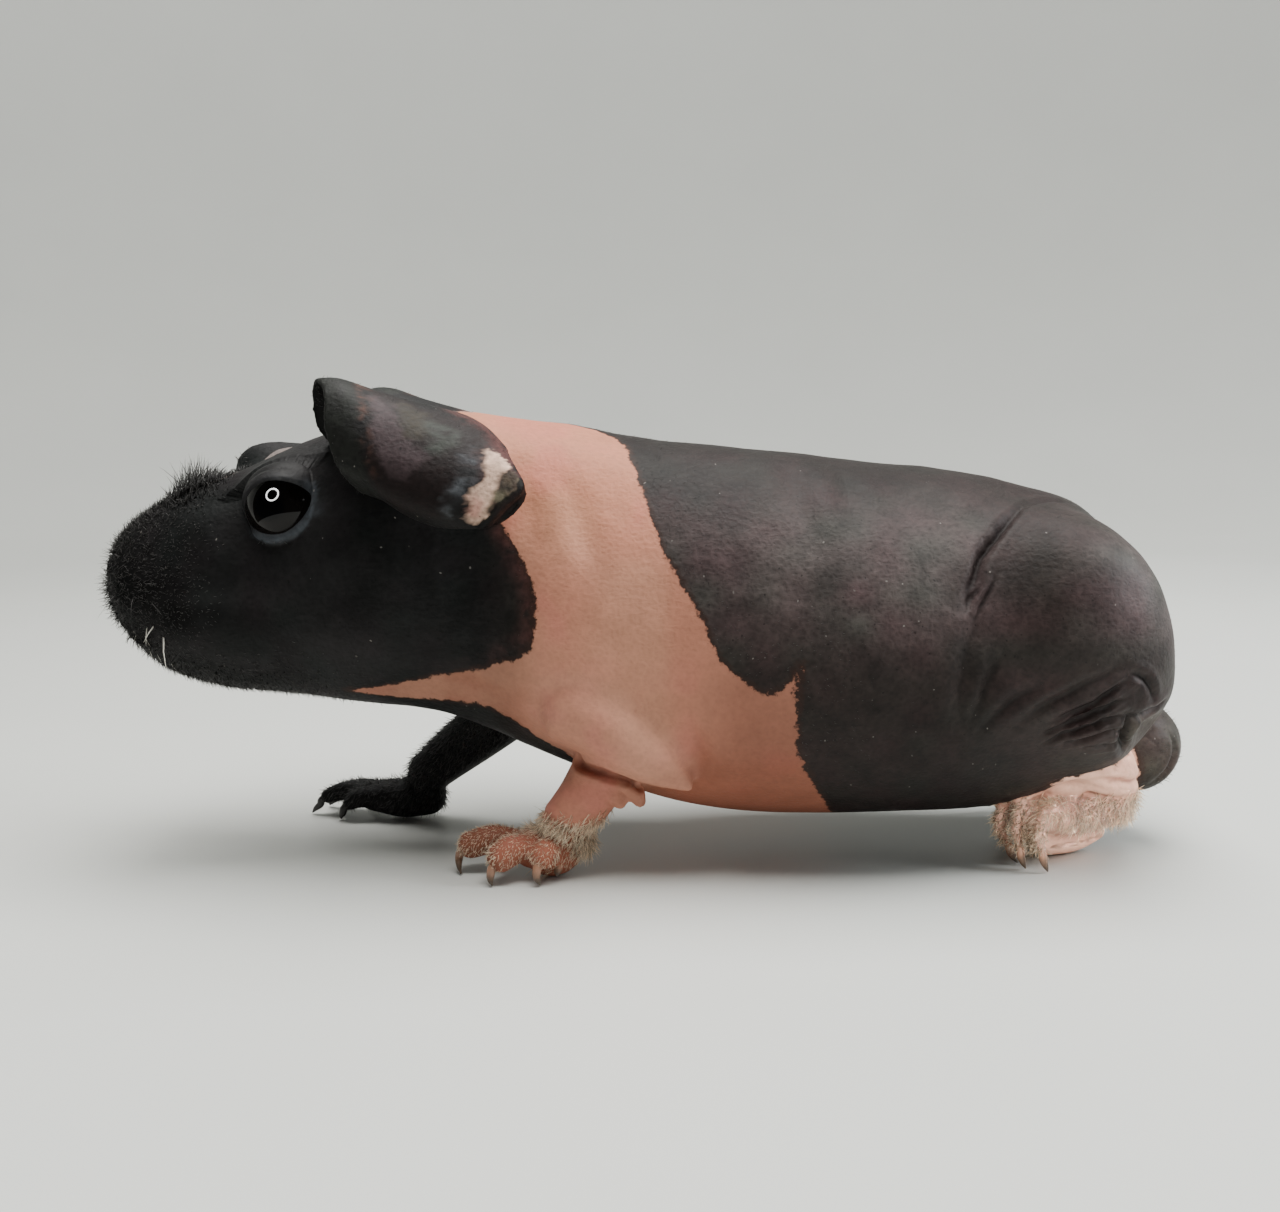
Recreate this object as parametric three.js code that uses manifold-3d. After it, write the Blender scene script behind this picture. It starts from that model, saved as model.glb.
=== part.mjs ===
// A hairless guinea pig, life size, standing on four feet and looking ahead.
// Millimetres. The animal faces -X, its left side is towards -Y and +Z is up.
// Every flesh piece is a loft: rings of points carried along a row of named
// stations. The pieces are then cut by each other, with a thin gap between
// them, and trimmed flat at the floor.

import * as THREE from 'three';
import { mergeVertices } from 'three/addons/utils/BufferGeometryUtils.js';
import Module from 'manifold-3d';

const wasm = await Module();
wasm.setup();

// ---- driving dimensions ------------------------------------------------

const GAP = 0.3; // left between two pieces that meet
const BODY_RING = 26; // points round the body
const BODY_ROWS = 31; // rings from nose to rump
const LIMB_RING = 9; // points round a limb
const TOE_RING = 6;
const CLAW_RING = 5;
// segments round each ball
const HAUNCH_SEGMENTS = 15;
const POUCH_SEGMENTS = 10;
const BROW_SEGMENTS = 10;
const EYE_SEGMENTS = 12;
const EAR_ROWS_MADE = 6; // steps from the ear's front rim to its tip
const EAR_POINTS_MADE = 9; // steps across the ear
const LIMB_STEPS = 2; // rings from one station of a limb to the next
const TOE_STEPS = 1;
const SECTION_POWER = 2.25; // 2 is an ellipse, more is squarer

const NECK_FRONT = -43; // where the head ends and the neck starts
const NECK_REAR = -20; // where the neck ends and the trunk starts

const EYE_RADIUS = 7.6;
const EYE_CENTRE = [-72.6, 14.2, 76.6]; // right eye, the left one is mirrored

const EAR_THICKNESS = 1.6;

const COLOURS = {
  skinDark: 0x34302f,
  skinPink: 0xd9a08c,
  eye: 0x0b0b0e,
  clawPale: 0xb9a084,
  clawDark: 0x2a2624,
};

// The outline of head, neck and trunk, from the nose to the rump: where the
// ring stands, its top, its bottom, half its width, and the height at which
// it is widest.
const BODY = [
  { x: -114.2, top: 60.6, bottom: 60.6, half: 0.0, wide: 60.6 }, // nose tip
  { x: -112.6, top: 66.4, bottom: 52.8, half: 6.6, wide: 60.8 },
  { x: -109.0, top: 71.6, bottom: 46.8, half: 10.0, wide: 60.4 },
  { x: -103.5, top: 75.8, bottom: 41.4, half: 12.4, wide: 59.6 }, // lips
  { x: -97.0, top: 79.0, bottom: 38.4, half: 13.8, wide: 59.0 },
  { x: -88.5, top: 82.0, bottom: 36.3, half: 15.8, wide: 59.0 },
  { x: -79.0, top: 85.2, bottom: 35.2, half: 18.4, wide: 59.6 },
  { x: -70.0, top: 89.0, bottom: 34.6, half: 21.2, wide: 60.2 }, // eyes
  { x: -61.0, top: 91.9, bottom: 33.4, half: 23.6, wide: 60.4 },
  { x: -52.0, top: 93.8, bottom: 32.4, half: 24.8, wide: 60.2 }, // crown
  { x: -43.0, top: 95.0, bottom: 31.2, half: 24.8, wide: 59.6 },
  { x: -34.0, top: 94.6, bottom: 28.0, half: 24.6, wide: 58.0 }, // throat
  { x: -25.0, top: 93.2, bottom: 23.8, half: 25.4, wide: 55.0 },
  { x: -15.0, top: 91.8, bottom: 19.6, half: 27.6, wide: 51.4 }, // chest
  { x: -4.0, top: 89.8, bottom: 15.0, half: 30.6, wide: 48.0 },
  { x: 8.0, top: 87.8, bottom: 11.4, half: 33.8, wide: 45.4 },
  { x: 22.0, top: 86.6, bottom: 9.4, half: 36.6, wide: 43.6 },
  { x: 38.0, top: 84.6, bottom: 9.0, half: 38.2, wide: 42.6 }, // belly
  { x: 54.0, top: 82.6, bottom: 9.2, half: 37.6, wide: 42.2 },
  { x: 69.0, top: 80.8, bottom: 9.4, half: 34.8, wide: 42.4 },
  { x: 82.0, top: 77.8, bottom: 11.0, half: 31.2, wide: 42.6 }, // hips
  { x: 93.0, top: 73.8, bottom: 16.0, half: 26.6, wide: 42.4 },
  { x: 102.0, top: 64.4, bottom: 22.6, half: 21.0, wide: 41.8 },
  { x: 108.4, top: 55.0, bottom: 27.4, half: 14.4, wide: 40.6 },
  { x: 112.2, top: 46.6, bottom: 32.6, half: 7.2, wide: 39.4 },
  { x: 113.8, top: 39.0, bottom: 39.0, half: 0.0, wide: 39.0 }, // rump
];

// Rounded masses that stand proud of the body loft.
const BROW = { centre: [-74.6, 12.2, 80.4], radii: [10.8, 7.8, 7.8] };
const POUCH = { centre: [106.4, 0, 21.4], radii: [11.0, 10.8, 10.4] };
const HAUNCH = { centre: [86.4, 21.8, 47.8], radii: [21.4, 16.0, 26.4], lean: -0.3 };

// Limbs: centre of each station, then its radius across and its radius up.
const LEFT_FORELEG = [
  [-5.0, -18.5, 38.0, 9.5, 11.0],
  [-4.5, -20.5, 28.0, 7.8, 8.4],
  [-10.0, -21.8, 18.8, 6.0, 6.2],
  [-15.2, -21.8, 11.6, 5.6, 5.6],
];
const LEFT_ELBOW = [
  [-12.0, -22.4, 37.0, 9.4, 10.0],
  [-4.0, -25.4, 31.4, 8.0, 8.2],
  [3.6, -27.2, 25.4, 5.4, 5.6],
  [9.0, -28.0, 20.8, 2.0, 2.2],
];
const LEFT_PALM = [
  [-14.6, -20.4, 7.4, 5.0, 5.4],
  [-19.2, -21.2, 5.2, 6.2, 6.3],
  [-24.4, -21.8, 5.8, 5.6, 4.8],
];
const LEFT_FORE_TOES = [
  [[-23.6, -19.4, 6.4, 3.2, 3.2], [-30.8, -18.6, 7.0, 3.8, 3.8], [-35.6, -18.8, 5.9, 3.6, 3.6]],
  [[-21.6, -22.6, 6.2, 3.2, 3.2], [-26.4, -25.0, 6.6, 3.9, 3.9], [-28.8, -26.8, 5.5, 3.6, 3.8]],
  [[-17.4, -23.8, 5.8, 2.9, 3.1], [-19.4, -26.2, 6.5, 3.3, 3.6], [-20.4, -27.6, 5.5, 2.9, 3.3]],
  [[-14.8, -20.6, 4.6, 2.6, 2.8], [-15.8, -22.8, 4.4, 2.3, 2.5], [-16.6, -24.0, 3.8, 1.9, 2.0]],
];
const LEFT_FORE_CLAW_TIPS = [
  [-37.6, -21.0, 0.5],
  [-30.4, -28.8, 0.5],
  [-20.8, -28.8, 0.5],
  [-17.4, -25.4, 1.2],
];

const RIGHT_FORELEG = [
  [-25.0, 17.0, 34.0, 9.0, 10.5],
  [-33.0, 19.4, 24.6, 7.0, 7.8],
  [-41.4, 21.2, 17.6, 6.4, 6.8],
  [-49.6, 22.4, 11.0, 5.6, 5.8],
];
const RIGHT_ELBOW = [
  [-24.0, 17.0, 38.0, 8.0, 8.6],
  [-14.0, 21.0, 29.0, 7.2, 7.4],
  [-3.0, 24.0, 22.6, 3.6, 3.8],
];
const RIGHT_PALM = [
  [-50.0, 22.8, 4.9, 4.9, 5.0],
  [-56.0, 23.6, 4.6, 5.9, 5.3],
  [-62.6, 24.4, 5.0, 5.2, 4.4],
];
const RIGHT_FORE_TOES = [
  [[-60.0, 22.6, 5.6, 3.0, 3.2], [-65.4, 21.6, 5.2, 3.0, 3.2], [-68.2, 21.2, 4.0, 2.3, 2.5]],
  [[-61.0, 24.8, 5.8, 3.2, 3.2], [-69.6, 25.8, 5.8, 3.1, 3.1], [-74.4, 26.2, 4.4, 2.3, 2.5]],
  [[-61.0, 26.6, 5.6, 3.0, 3.2], [-68.0, 29.8, 5.4, 2.9, 3.0], [-72.0, 31.4, 4.2, 2.2, 2.4]],
  [[-57.0, 26.6, 4.8, 2.6, 2.8], [-61.2, 30.4, 4.4, 2.3, 2.5], [-63.2, 32.0, 3.6, 1.8, 2.0]],
];
const RIGHT_FORE_CLAW_TIPS = [
  [-70.2, 21.0, 0.5],
  [-78.0, 26.6, 0.5],
  [-75.2, 33.0, 0.5],
  [-65.4, 33.8, 1.0],
];

const LEFT_SHANK = [
  [88.0, -18.6, 28.0, 7.4, 8.6],
  [96.4, -13.6, 20.4, 5.8, 6.4],
  [99.4, -10.4, 12.6, 5.0, 5.4],
];
const LEFT_SOLE = [
  [99.8, -9.0, 9.4, 4.4, 5.0],
  [92.8, -11.2, 8.8, 5.6, 6.2],
  [85.6, -13.4, 7.1, 6.2, 8.2],
  [80.4, -15.0, 8.0, 5.2, 5.8],
];
const LEFT_HIND_TOES = [
  [[83.4, -12.8, 9.8, 3.4, 3.8], [76.8, -14.0, 10.7, 2.9, 3.1],
   [74.9, -15.6, 7.4, 2.3, 2.4], [76.2, -16.6, 4.4, 1.9, 1.9]],
  [[84.6, -15.6, 10.2, 3.4, 3.8], [79.2, -17.4, 11.5, 2.9, 3.1],
   [77.5, -19.4, 8.0, 2.3, 2.4], [77.9, -20.4, 4.7, 1.9, 1.9]],
  [[86.6, -17.2, 9.8, 3.4, 3.6], [83.0, -19.8, 10.6, 2.9, 3.1],
   [81.5, -21.6, 7.4, 2.3, 2.4], [81.9, -22.5, 4.7, 1.8, 1.9]],
];
const LEFT_HIND_CLAW_TIPS = [
  [78.2, -17.4, 0.5],
  [79.0, -21.2, 0.5],
  [83.0, -23.4, 0.5],
];
const RIGHT_HIND_SHIFT = 7.0; // the right hind foot stands this much further back

const CLAW_BASE = 1.0; // radius of a claw where it leaves the toe
const CLAW_TIP = 0.23;
const CLAW_REACH = 0.4; // how far a claw runs straight on before it bends down
const CAP_ANGLE = 0.86; // where the one ring of a rounded end stands, from its pole
const TANGENT_STEP = 0.05; // of a station, to find a path's direction

// The ear is a sheet carried from its front rim to its rear tip. Each row
// climbs from the crown, passes over the ridge and hangs down outside.
const EAR_ROWS = [
  [[-61, -10, 86], [-65.3, -14, 91.6], [-65.9, -16.8, 97.8], [-64.2, -21.4, 101.2],
   [-60.8, -28, 99.4], [-60.3, -31, 93.4], [-58.2, -30.4, 85.4], [-55.2, -25, 79.8]],
  [[-56, -10, 87], [-59.4, -14, 93.6], [-60.3, -18, 99.2], [-58.6, -23.6, 100.8],
   [-56.2, -29, 98.2], [-55.4, -31.8, 90.6], [-53, -31, 82.6], [-49.5, -25, 78]],
  [[-50, -10, 88], [-51.6, -14.4, 94.6], [-52, -18.8, 98.0], [-51.2, -24, 98.6],
   [-49.8, -29.6, 94.6], [-49, -33.4, 87.2], [-47.2, -33, 79.6], [-45, -28, 75.4]],
  [[-42, -10, 88], [-42.6, -14.8, 93.6], [-42.4, -19.6, 96], [-41.6, -25, 95.4],
   [-40.6, -31, 91], [-40, -35, 84], [-39.4, -35.2, 77.2], [-38.6, -32.2, 73]],
  [[-33, -12, 87], [-32.8, -16.2, 91.4], [-32.4, -20.8, 93], [-31.8, -26, 91.8],
   [-31, -31.4, 87.8], [-30.5, -35, 82], [-31, -36, 77], [-32.3, -35.4, 72.8]],
  [[-28.5, -17, 85.6], [-27.6, -20.2, 87.4], [-26.8, -24, 88], [-26, -28.6, 87],
   [-24.3, -33.2, 84.6], [-22.6, -35.4, 81], [-26, -36.4, 77.4], [-29.9, -35.8, 73]],
];
const RIGHT_EAR_DROP = 2.2; // the right ear lies lower and a little further back
const RIGHT_EAR_BACK = 3.0;

// ---- shaping helpers ---------------------------------------------------

const lerp = THREE.MathUtils.lerp;

// Catmull-Rom value at u, between rows of equal length. Past an end the
// missing neighbour is mirrored; for the columns in `folds` it is repeated,
// so the curve leaves a tip at a right angle to that column.
function splineRow(rows, u, folds = []) {
  const last = rows.length - 1;
  const i = Math.min(Math.floor(u), last - 1);
  const t = u - i;
  return rows[i].map((start, k) => {
    const end = rows[i + 1][k];
    const fold = folds.includes(k);
    const before = i > 0 ? rows[i - 1][k] : fold ? end : 2 * start - end;
    const after = i + 2 <= last ? rows[i + 2][k] : fold ? start : 2 * end - start;
    const a = 2 * start;
    const b = end - before;
    const c = 2 * before - 5 * start + 4 * end - after;
    const d = 3 * start - before - 3 * end + after;
    return 0.5 * (a + b * t + c * t * t + d * t * t * t);
  });
}

// A closed surface through rings of equal count, closed by a point at each end.
function loftGeometry(rings, startPole, endPole) {
  const count = rings[0].length;
  const points = [startPole, ...rings.flat(), endPole];
  const index = [];
  for (let j = 0; j < count; j += 1) {
    index.push(0, 1 + ((j + 1) % count), 1 + j);
  }
  for (let i = 0; i + 1 < rings.length; i += 1) {
    for (let j = 0; j < count; j += 1) {
      const a = 1 + i * count + j;
      const b = 1 + i * count + ((j + 1) % count);
      index.push(a, b, b + count, a, b + count, a + count);
    }
  }
  const base = 1 + (rings.length - 1) * count;
  const end = points.length - 1;
  for (let j = 0; j < count; j += 1) {
    index.push(end, base + j, base + ((j + 1) % count));
  }
  const geometry = new THREE.BufferGeometry();
  geometry.setAttribute('position', new THREE.Float32BufferAttribute(points.flat(), 3));
  geometry.setIndex(index);
  return geometry;
}

// Six times the signed volume, to tell whether the faces point out.
function signedVolume(positions, index) {
  let sum = 0;
  const corner = (i) => new THREE.Vector3().fromArray(positions, 3 * i);
  for (let i = 0; i < index.length; i += 3) {
    const [a, b, c] = [corner(index[i]), corner(index[i + 1]), corner(index[i + 2])];
    sum += a.dot(b.cross(c));
  }
  return sum;
}

function toSolid(geometry) {
  const bare = geometry.clone();
  bare.deleteAttribute('normal');
  bare.deleteAttribute('uv');
  const merged = mergeVertices(bare, 1e-4);
  const positions = new Float32Array(merged.attributes.position.array);
  const index = Array.from(merged.index.array);
  if (signedVolume(positions, index) < 0) {
    index.reverse();
  }
  return new wasm.Manifold(new wasm.Mesh({
    numProp: 3,
    vertProperties: positions,
    triVerts: new Uint32Array(index),
  }));
}

function toGeometry(solid) {
  const { numProp, vertProperties, triVerts } = solid.getMesh();
  const count = vertProperties.length / numProp;
  const positions = new Float32Array(3 * count);
  for (let i = 0; i < count; i += 1) {
    positions.set(vertProperties.subarray(i * numProp, i * numProp + 3), 3 * i);
  }
  const geometry = new THREE.BufferGeometry();
  geometry.setAttribute('position', new THREE.BufferAttribute(positions, 3));
  geometry.setIndex(new THREE.BufferAttribute(new Uint32Array(triVerts), 1));
  geometry.computeVertexNormals();
  return geometry;
}

const join = (solids) => solids.reduce((sum, solid) => sum.add(solid));
const cut = (solid, tools) => tools.reduce((rest, tool) => rest.subtract(tool), solid);
const signedPower = (value, power) => Math.sign(value) * Math.abs(value) ** power;
const mirrorY = ([x, y, z, ...radii]) => [x, -y, z, ...radii];
const shiftX = (amount) => ([x, ...others]) => [x + amount, ...others];

// A block whose faces stand at the given limits.
function block([x0, y0, z0], [x1, y1, z1]) {
  const geometry = new THREE.BoxGeometry(x1 - x0, y1 - y0, z1 - z0);
  geometry.translate((x0 + x1) / 2, (y0 + y1) / 2, (z0 + z1) / 2);
  return toSolid(geometry);
}

function ball(centre, radii, grow, segments, lean = 0) {
  const geometry = new THREE.SphereGeometry(1, segments, Math.round(segments * 0.6));
  geometry.scale(radii[0] + grow, radii[1] + grow, radii[2] + grow);
  geometry.rotateY(lean);
  geometry.translate(...centre);
  return toSolid(geometry);
}

// ---- head, neck and trunk ----------------------------------------------

function bodyRing([x, top, bottom, half, wide], grow) {
  const power = 2 / SECTION_POWER;
  const ring = [];
  for (let j = 0; j < BODY_RING; j += 1) {
    const angle = (2 * Math.PI * j) / BODY_RING;
    const across = signedPower(Math.cos(angle), power);
    const up = signedPower(Math.sin(angle), power);
    const height = up > 0 ? top - wide : wide - bottom;
    ring.push([x, (half + grow) * across, wide + (height + grow) * up]);
  }
  return ring;
}

function bodySolid(grow) {
  const rows = BODY.map(({ x, top, bottom, half, wide }) => [x, top, bottom, half, wide]);
  const rings = [];
  for (let i = 1; i < BODY_ROWS; i += 1) {
    rings.push(bodyRing(splineRow(rows, (i / BODY_ROWS) * (rows.length - 1), [0]), grow));
  }
  const nose = BODY[0];
  const rump = BODY[BODY.length - 1];
  const loft = toSolid(loftGeometry(
    rings,
    [nose.x - grow, 0, nose.wide],
    [rump.x + grow, 0, rump.wide],
  ));
  const pouch = ball(POUCH.centre, POUCH.radii, grow, POUCH_SEGMENTS);
  const brows = [1, -1].map((side) => (
    ball([BROW.centre[0], side * BROW.centre[1], BROW.centre[2]], BROW.radii, grow, BROW_SEGMENTS)));
  return join([loft, pouch, ...brows]);
}

// ---- limbs, toes and claws ----------------------------------------------

// Rings stand square to the path; `across` lies as near as it can to Y.
function limbRing(centre, tangent, across, up, count) {
  const side = new THREE.Vector3(0, 1, 0).addScaledVector(tangent, -tangent.y).normalize();
  const rise = new THREE.Vector3().crossVectors(side, tangent);
  const ring = [];
  for (let j = 0; j < count; j += 1) {
    const angle = (2 * Math.PI * j) / count;
    const point = centre.clone()
      .addScaledVector(side, across * Math.cos(angle))
      .addScaledVector(rise, up * Math.sin(angle));
    ring.push(point.toArray());
  }
  return ring;
}

// A tube along the stations, closed by a rounded cap of one ring at each end.
function limbSolid(stations, grow, count, stepsBetween) {
  const last = stations.length - 1;
  const at = (u) => splineRow(stations, THREE.MathUtils.clamp(u, 0, last));
  const centreAt = (u) => new THREE.Vector3(...at(u).slice(0, 3));
  const tangentAt = (u) => (
    centreAt(u + TANGENT_STEP).sub(centreAt(u - TANGENT_STEP)).normalize());
  const beyond = (u, distance) => {
    const [, , , across, up] = at(u);
    return centreAt(u).addScaledVector(tangentAt(u), distance * (Math.min(across, up) + grow));
  };
  const ringAt = (u, distance, shrink) => {
    const [, , , across, up] = at(u);
    const [wide, high] = [(across + grow) * shrink, (up + grow) * shrink];
    return limbRing(beyond(u, distance), tangentAt(u), wide, high, count);
  };
  const steps = last * stepsBetween;
  const rings = [ringAt(0, -Math.cos(CAP_ANGLE), Math.sin(CAP_ANGLE))];
  for (let i = 0; i <= steps; i += 1) {
    rings.push(ringAt((i / steps) * last, 0, 1));
  }
  rings.push(ringAt(last, Math.cos(CAP_ANGLE), Math.sin(CAP_ANGLE)));
  return toSolid(loftGeometry(rings, beyond(0, -1).toArray(), beyond(last, 1).toArray()));
}

// A claw leaves the toe's last station, goes on along the toe, bends down and
// narrows to its tip.
function clawSolid(toe, tip) {
  const [x, y, z, across] = toe[toe.length - 1];
  const [px, py, pz] = toe[toe.length - 2];
  const root = new THREE.Vector3(x, y, z);
  const onward = root.clone().sub(new THREE.Vector3(px, py, pz)).normalize();
  const bend = root.clone().addScaledVector(onward, across + CLAW_REACH);
  bend.z = Math.max(bend.z, lerp(tip[2], z, 0.45));
  const middle = bend.clone().lerp(new THREE.Vector3(...tip), 0.5)
    .addScaledVector(onward, 0.35);
  const stations = [
    [...root.toArray(), CLAW_BASE, CLAW_BASE],
    [...bend.toArray(), CLAW_BASE * 0.92, CLAW_BASE * 0.95],
    [...middle.toArray(), CLAW_BASE * 0.6, CLAW_BASE * 0.66],
    [...tip, CLAW_TIP, CLAW_TIP],
  ];
  return limbSolid(stations, 0, CLAW_RING, TOE_STEPS);
}

// ---- ears ---------------------------------------------------------------

function earSolid(side) {
  const lowered = side > 0;
  const columns = EAR_ROWS[0].length;
  const rows = EAR_ROWS.map((row) => row.flatMap(([x, y, z]) => [
    x + (lowered ? RIGHT_EAR_BACK : 0),
    side * -y,
    z - (lowered ? RIGHT_EAR_DROP : 0),
  ]));
  const pointAt = (u, v) => {
    const uHere = THREE.MathUtils.clamp(u, 0, rows.length - 1);
    const vHere = THREE.MathUtils.clamp(v, 0, columns - 1);
    const flat = splineRow(rows, uHere);
    const row = EAR_ROWS[0].map((_, k) => flat.slice(3 * k, 3 * k + 3));
    return new THREE.Vector3(...splineRow(row, vHere));
  };
  const normalAt = (u, v) => {
    const along = pointAt(u + TANGENT_STEP, v).sub(pointAt(u - TANGENT_STEP, v));
    const across = pointAt(u, v + TANGENT_STEP).sub(pointAt(u, v - TANGENT_STEP));
    return along.cross(across).normalize();
  };
  const rings = [];
  for (let i = 0; i <= EAR_ROWS_MADE; i += 1) {
    const u = (i / EAR_ROWS_MADE) * (rows.length - 1);
    const outer = [];
    const inner = [];
    for (let j = 0; j <= EAR_POINTS_MADE; j += 1) {
      const v = (j / EAR_POINTS_MADE) * (columns - 1);
      const wall = normalAt(u, v).multiplyScalar(EAR_THICKNESS / 2);
      outer.push(pointAt(u, v).add(wall).toArray());
      inner.push(pointAt(u, v).sub(wall).toArray());
    }
    rings.push([...outer, ...inner.reverse()]);
  }
  return ribbonSolid(rings);
}

// Closes a bent ribbon of rings: each ring is a long thin loop, so its two
// ends are closed by strips between the loop's two long sides.
function ribbonSolid(rings) {
  const count = rings[0].length;
  const half = count / 2;
  const points = rings.flat();
  const index = [];
  for (let i = 0; i + 1 < rings.length; i += 1) {
    for (let j = 0; j < count; j += 1) {
      const a = i * count + j;
      const b = i * count + ((j + 1) % count);
      index.push(a, b, b + count, a, b + count, a + count);
    }
  }
  const lastBase = (rings.length - 1) * count;
  for (let j = 0; j + 1 < half; j += 1) {
    const a = j;
    const b = j + 1;
    const c = count - 2 - j;
    const d = count - 1 - j;
    index.push(a, c, b, a, d, c);
    index.push(lastBase + a, lastBase + b, lastBase + c);
    index.push(lastBase + a, lastBase + c, lastBase + d);
  }
  const geometry = new THREE.BufferGeometry();
  geometry.setAttribute('position', new THREE.Float32BufferAttribute(points.flat(), 3));
  geometry.setIndex(index);
  return toSolid(geometry);
}

// ---- assembly -----------------------------------------------------------

const FAR = 300;
const belowFloor = block([-FAR, -FAR, -50], [FAR, FAR, 0]);
const body = bodySolid(0);
const bodyGrown = bodySolid(GAP);
const between = (x0, x1) => block([x0, -FAR, -FAR], [x1, FAR, FAR]);


function eyeball(side, grow) {
  const [x, y, z] = EYE_CENTRE;
  return ball([x, side * y, z], Array(3).fill(EYE_RADIUS), grow, EYE_SEGMENTS);
}

function haunch(side, grow) {
  const [x, y, z] = HAUNCH.centre;
  return ball([x, side * y, z], HAUNCH.radii, grow, HAUNCH_SEGMENTS, HAUNCH.lean);
}

const mirrored = (stations) => stations.map(mirrorY).map(shiftX(RIGHT_HIND_SHIFT));
const RIGHT_SHANK = LEFT_SHANK.map(mirrorY).map(shiftX(RIGHT_HIND_SHIFT * 0.7));
const LEGS = [
  {
    name: 'left_fore', upper: 'leg', foot: 'paw',
    limbs: [LEFT_FORELEG, LEFT_ELBOW], sole: LEFT_PALM,
    toes: LEFT_FORE_TOES, tips: LEFT_FORE_CLAW_TIPS, wrist: 12.0,
    flesh: COLOURS.skinPink, claw: COLOURS.clawPale,
  },
  {
    name: 'right_fore', upper: 'leg', foot: 'paw',
    limbs: [RIGHT_FORELEG, RIGHT_ELBOW], sole: RIGHT_PALM,
    toes: RIGHT_FORE_TOES, tips: RIGHT_FORE_CLAW_TIPS, wrist: 11.6,
    flesh: COLOURS.skinDark, claw: COLOURS.clawDark,
  },
  {
    name: 'left_hind', upper: 'leg', foot: 'foot', haunchSide: -1,
    limbs: [LEFT_SHANK], sole: LEFT_SOLE,
    toes: LEFT_HIND_TOES, tips: LEFT_HIND_CLAW_TIPS, wrist: 15.4,
    flesh: COLOURS.skinPink, claw: COLOURS.clawPale,
  },
  {
    name: 'right_hind', upper: 'leg', foot: 'foot', haunchSide: 1,
    limbs: [RIGHT_SHANK], sole: mirrored(LEFT_SOLE),
    toes: LEFT_HIND_TOES.map(mirrored), tips: mirrored(LEFT_HIND_CLAW_TIPS), wrist: 15.4,
    flesh: COLOURS.skinDark, claw: COLOURS.clawDark,
  },
];

function legFlesh(leg, grow) {
  const parts = leg.limbs.map((limb) => limbSolid(limb, grow, LIMB_RING, LIMB_STEPS));
  parts.push(limbSolid(leg.sole, grow, LIMB_RING, LIMB_STEPS));
  leg.toes.forEach((toe) => parts.push(limbSolid(toe, grow, TOE_RING, TOE_STEPS)));
  if (leg.haunchSide) {
    parts.push(haunch(leg.haunchSide, grow));
  }
  return join(parts).subtract(belowFloor);
}

const root = new THREE.Group();

function addPiece(name, solid, colour, roughness) {
  const material = new THREE.MeshStandardMaterial({ color: colour, roughness, metalness: 0 });
  const mesh = new THREE.Mesh(toGeometry(solid), material);
  mesh.name = name;
  root.add(mesh);
}

const grownLegs = LEGS.map((leg) => legFlesh(leg, GAP));
const torso = cut(body, [...grownLegs, eyeball(-1, GAP), eyeball(1, GAP)]);
addPiece('head', torso.intersect(between(-FAR, NECK_FRONT - GAP / 2)), COLOURS.skinDark, 0.5);
addPiece('neck', torso.intersect(between(NECK_FRONT + GAP / 2, NECK_REAR - GAP / 2)),
  COLOURS.skinPink, 0.5);
addPiece('trunk', torso.intersect(between(NECK_REAR + GAP / 2, FAR)), COLOURS.skinDark, 0.5);

addPiece('left_ear', earSolid(-1).subtract(bodyGrown), COLOURS.skinDark, 0.6);
addPiece('right_ear', earSolid(1).subtract(bodyGrown), COLOURS.skinDark, 0.6);
addPiece('left_eye', eyeball(-1, 0), COLOURS.eye, 0.05);
addPiece('right_eye', eyeball(1, 0), COLOURS.eye, 0.05);

LEGS.forEach((leg, k) => {
  const flesh = legFlesh(leg, 0);
  const above = block([-FAR, -FAR, leg.wrist + GAP / 2], [FAR, FAR, FAR]);
  const below = block([-FAR, -FAR, -FAR], [FAR, FAR, leg.wrist - GAP / 2]);
  addPiece(`${leg.name}_${leg.upper}`, flesh.intersect(above), leg.flesh, 0.55);
  addPiece(`${leg.name}_${leg.foot}`, flesh.intersect(below), leg.flesh, 0.55);
  leg.toes.forEach((toe, i) => {
    const claw = clawSolid(toe, leg.tips[i]).subtract(grownLegs[k]).subtract(belowFloor);
    addPiece(`${leg.name}_claw_${i + 1}`, claw, leg.claw, 0.35);
  });
});

// The origin is the middle of the whole animal's footprint, at the floor.
root.updateMatrixWorld(true);
const box = new THREE.Box3().setFromObject(root);
root.position.set(-(box.min.x + box.max.x) / 2, -(box.min.y + box.max.y) / 2, 0);
root.updateMatrixWorld(true);

export default root;
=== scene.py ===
"""A hairless guinea pig, life size, standing on a pale studio floor.

One skin is worked out from lofts of the body, limbs and ears, joined, softened
and then folded. Eyes, claws, whiskers and short fur are pieces of their own.
All shapes are worked out in millimetres, facing -X with +Z up, and put into
the meshes in metres at the end.
"""

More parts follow.
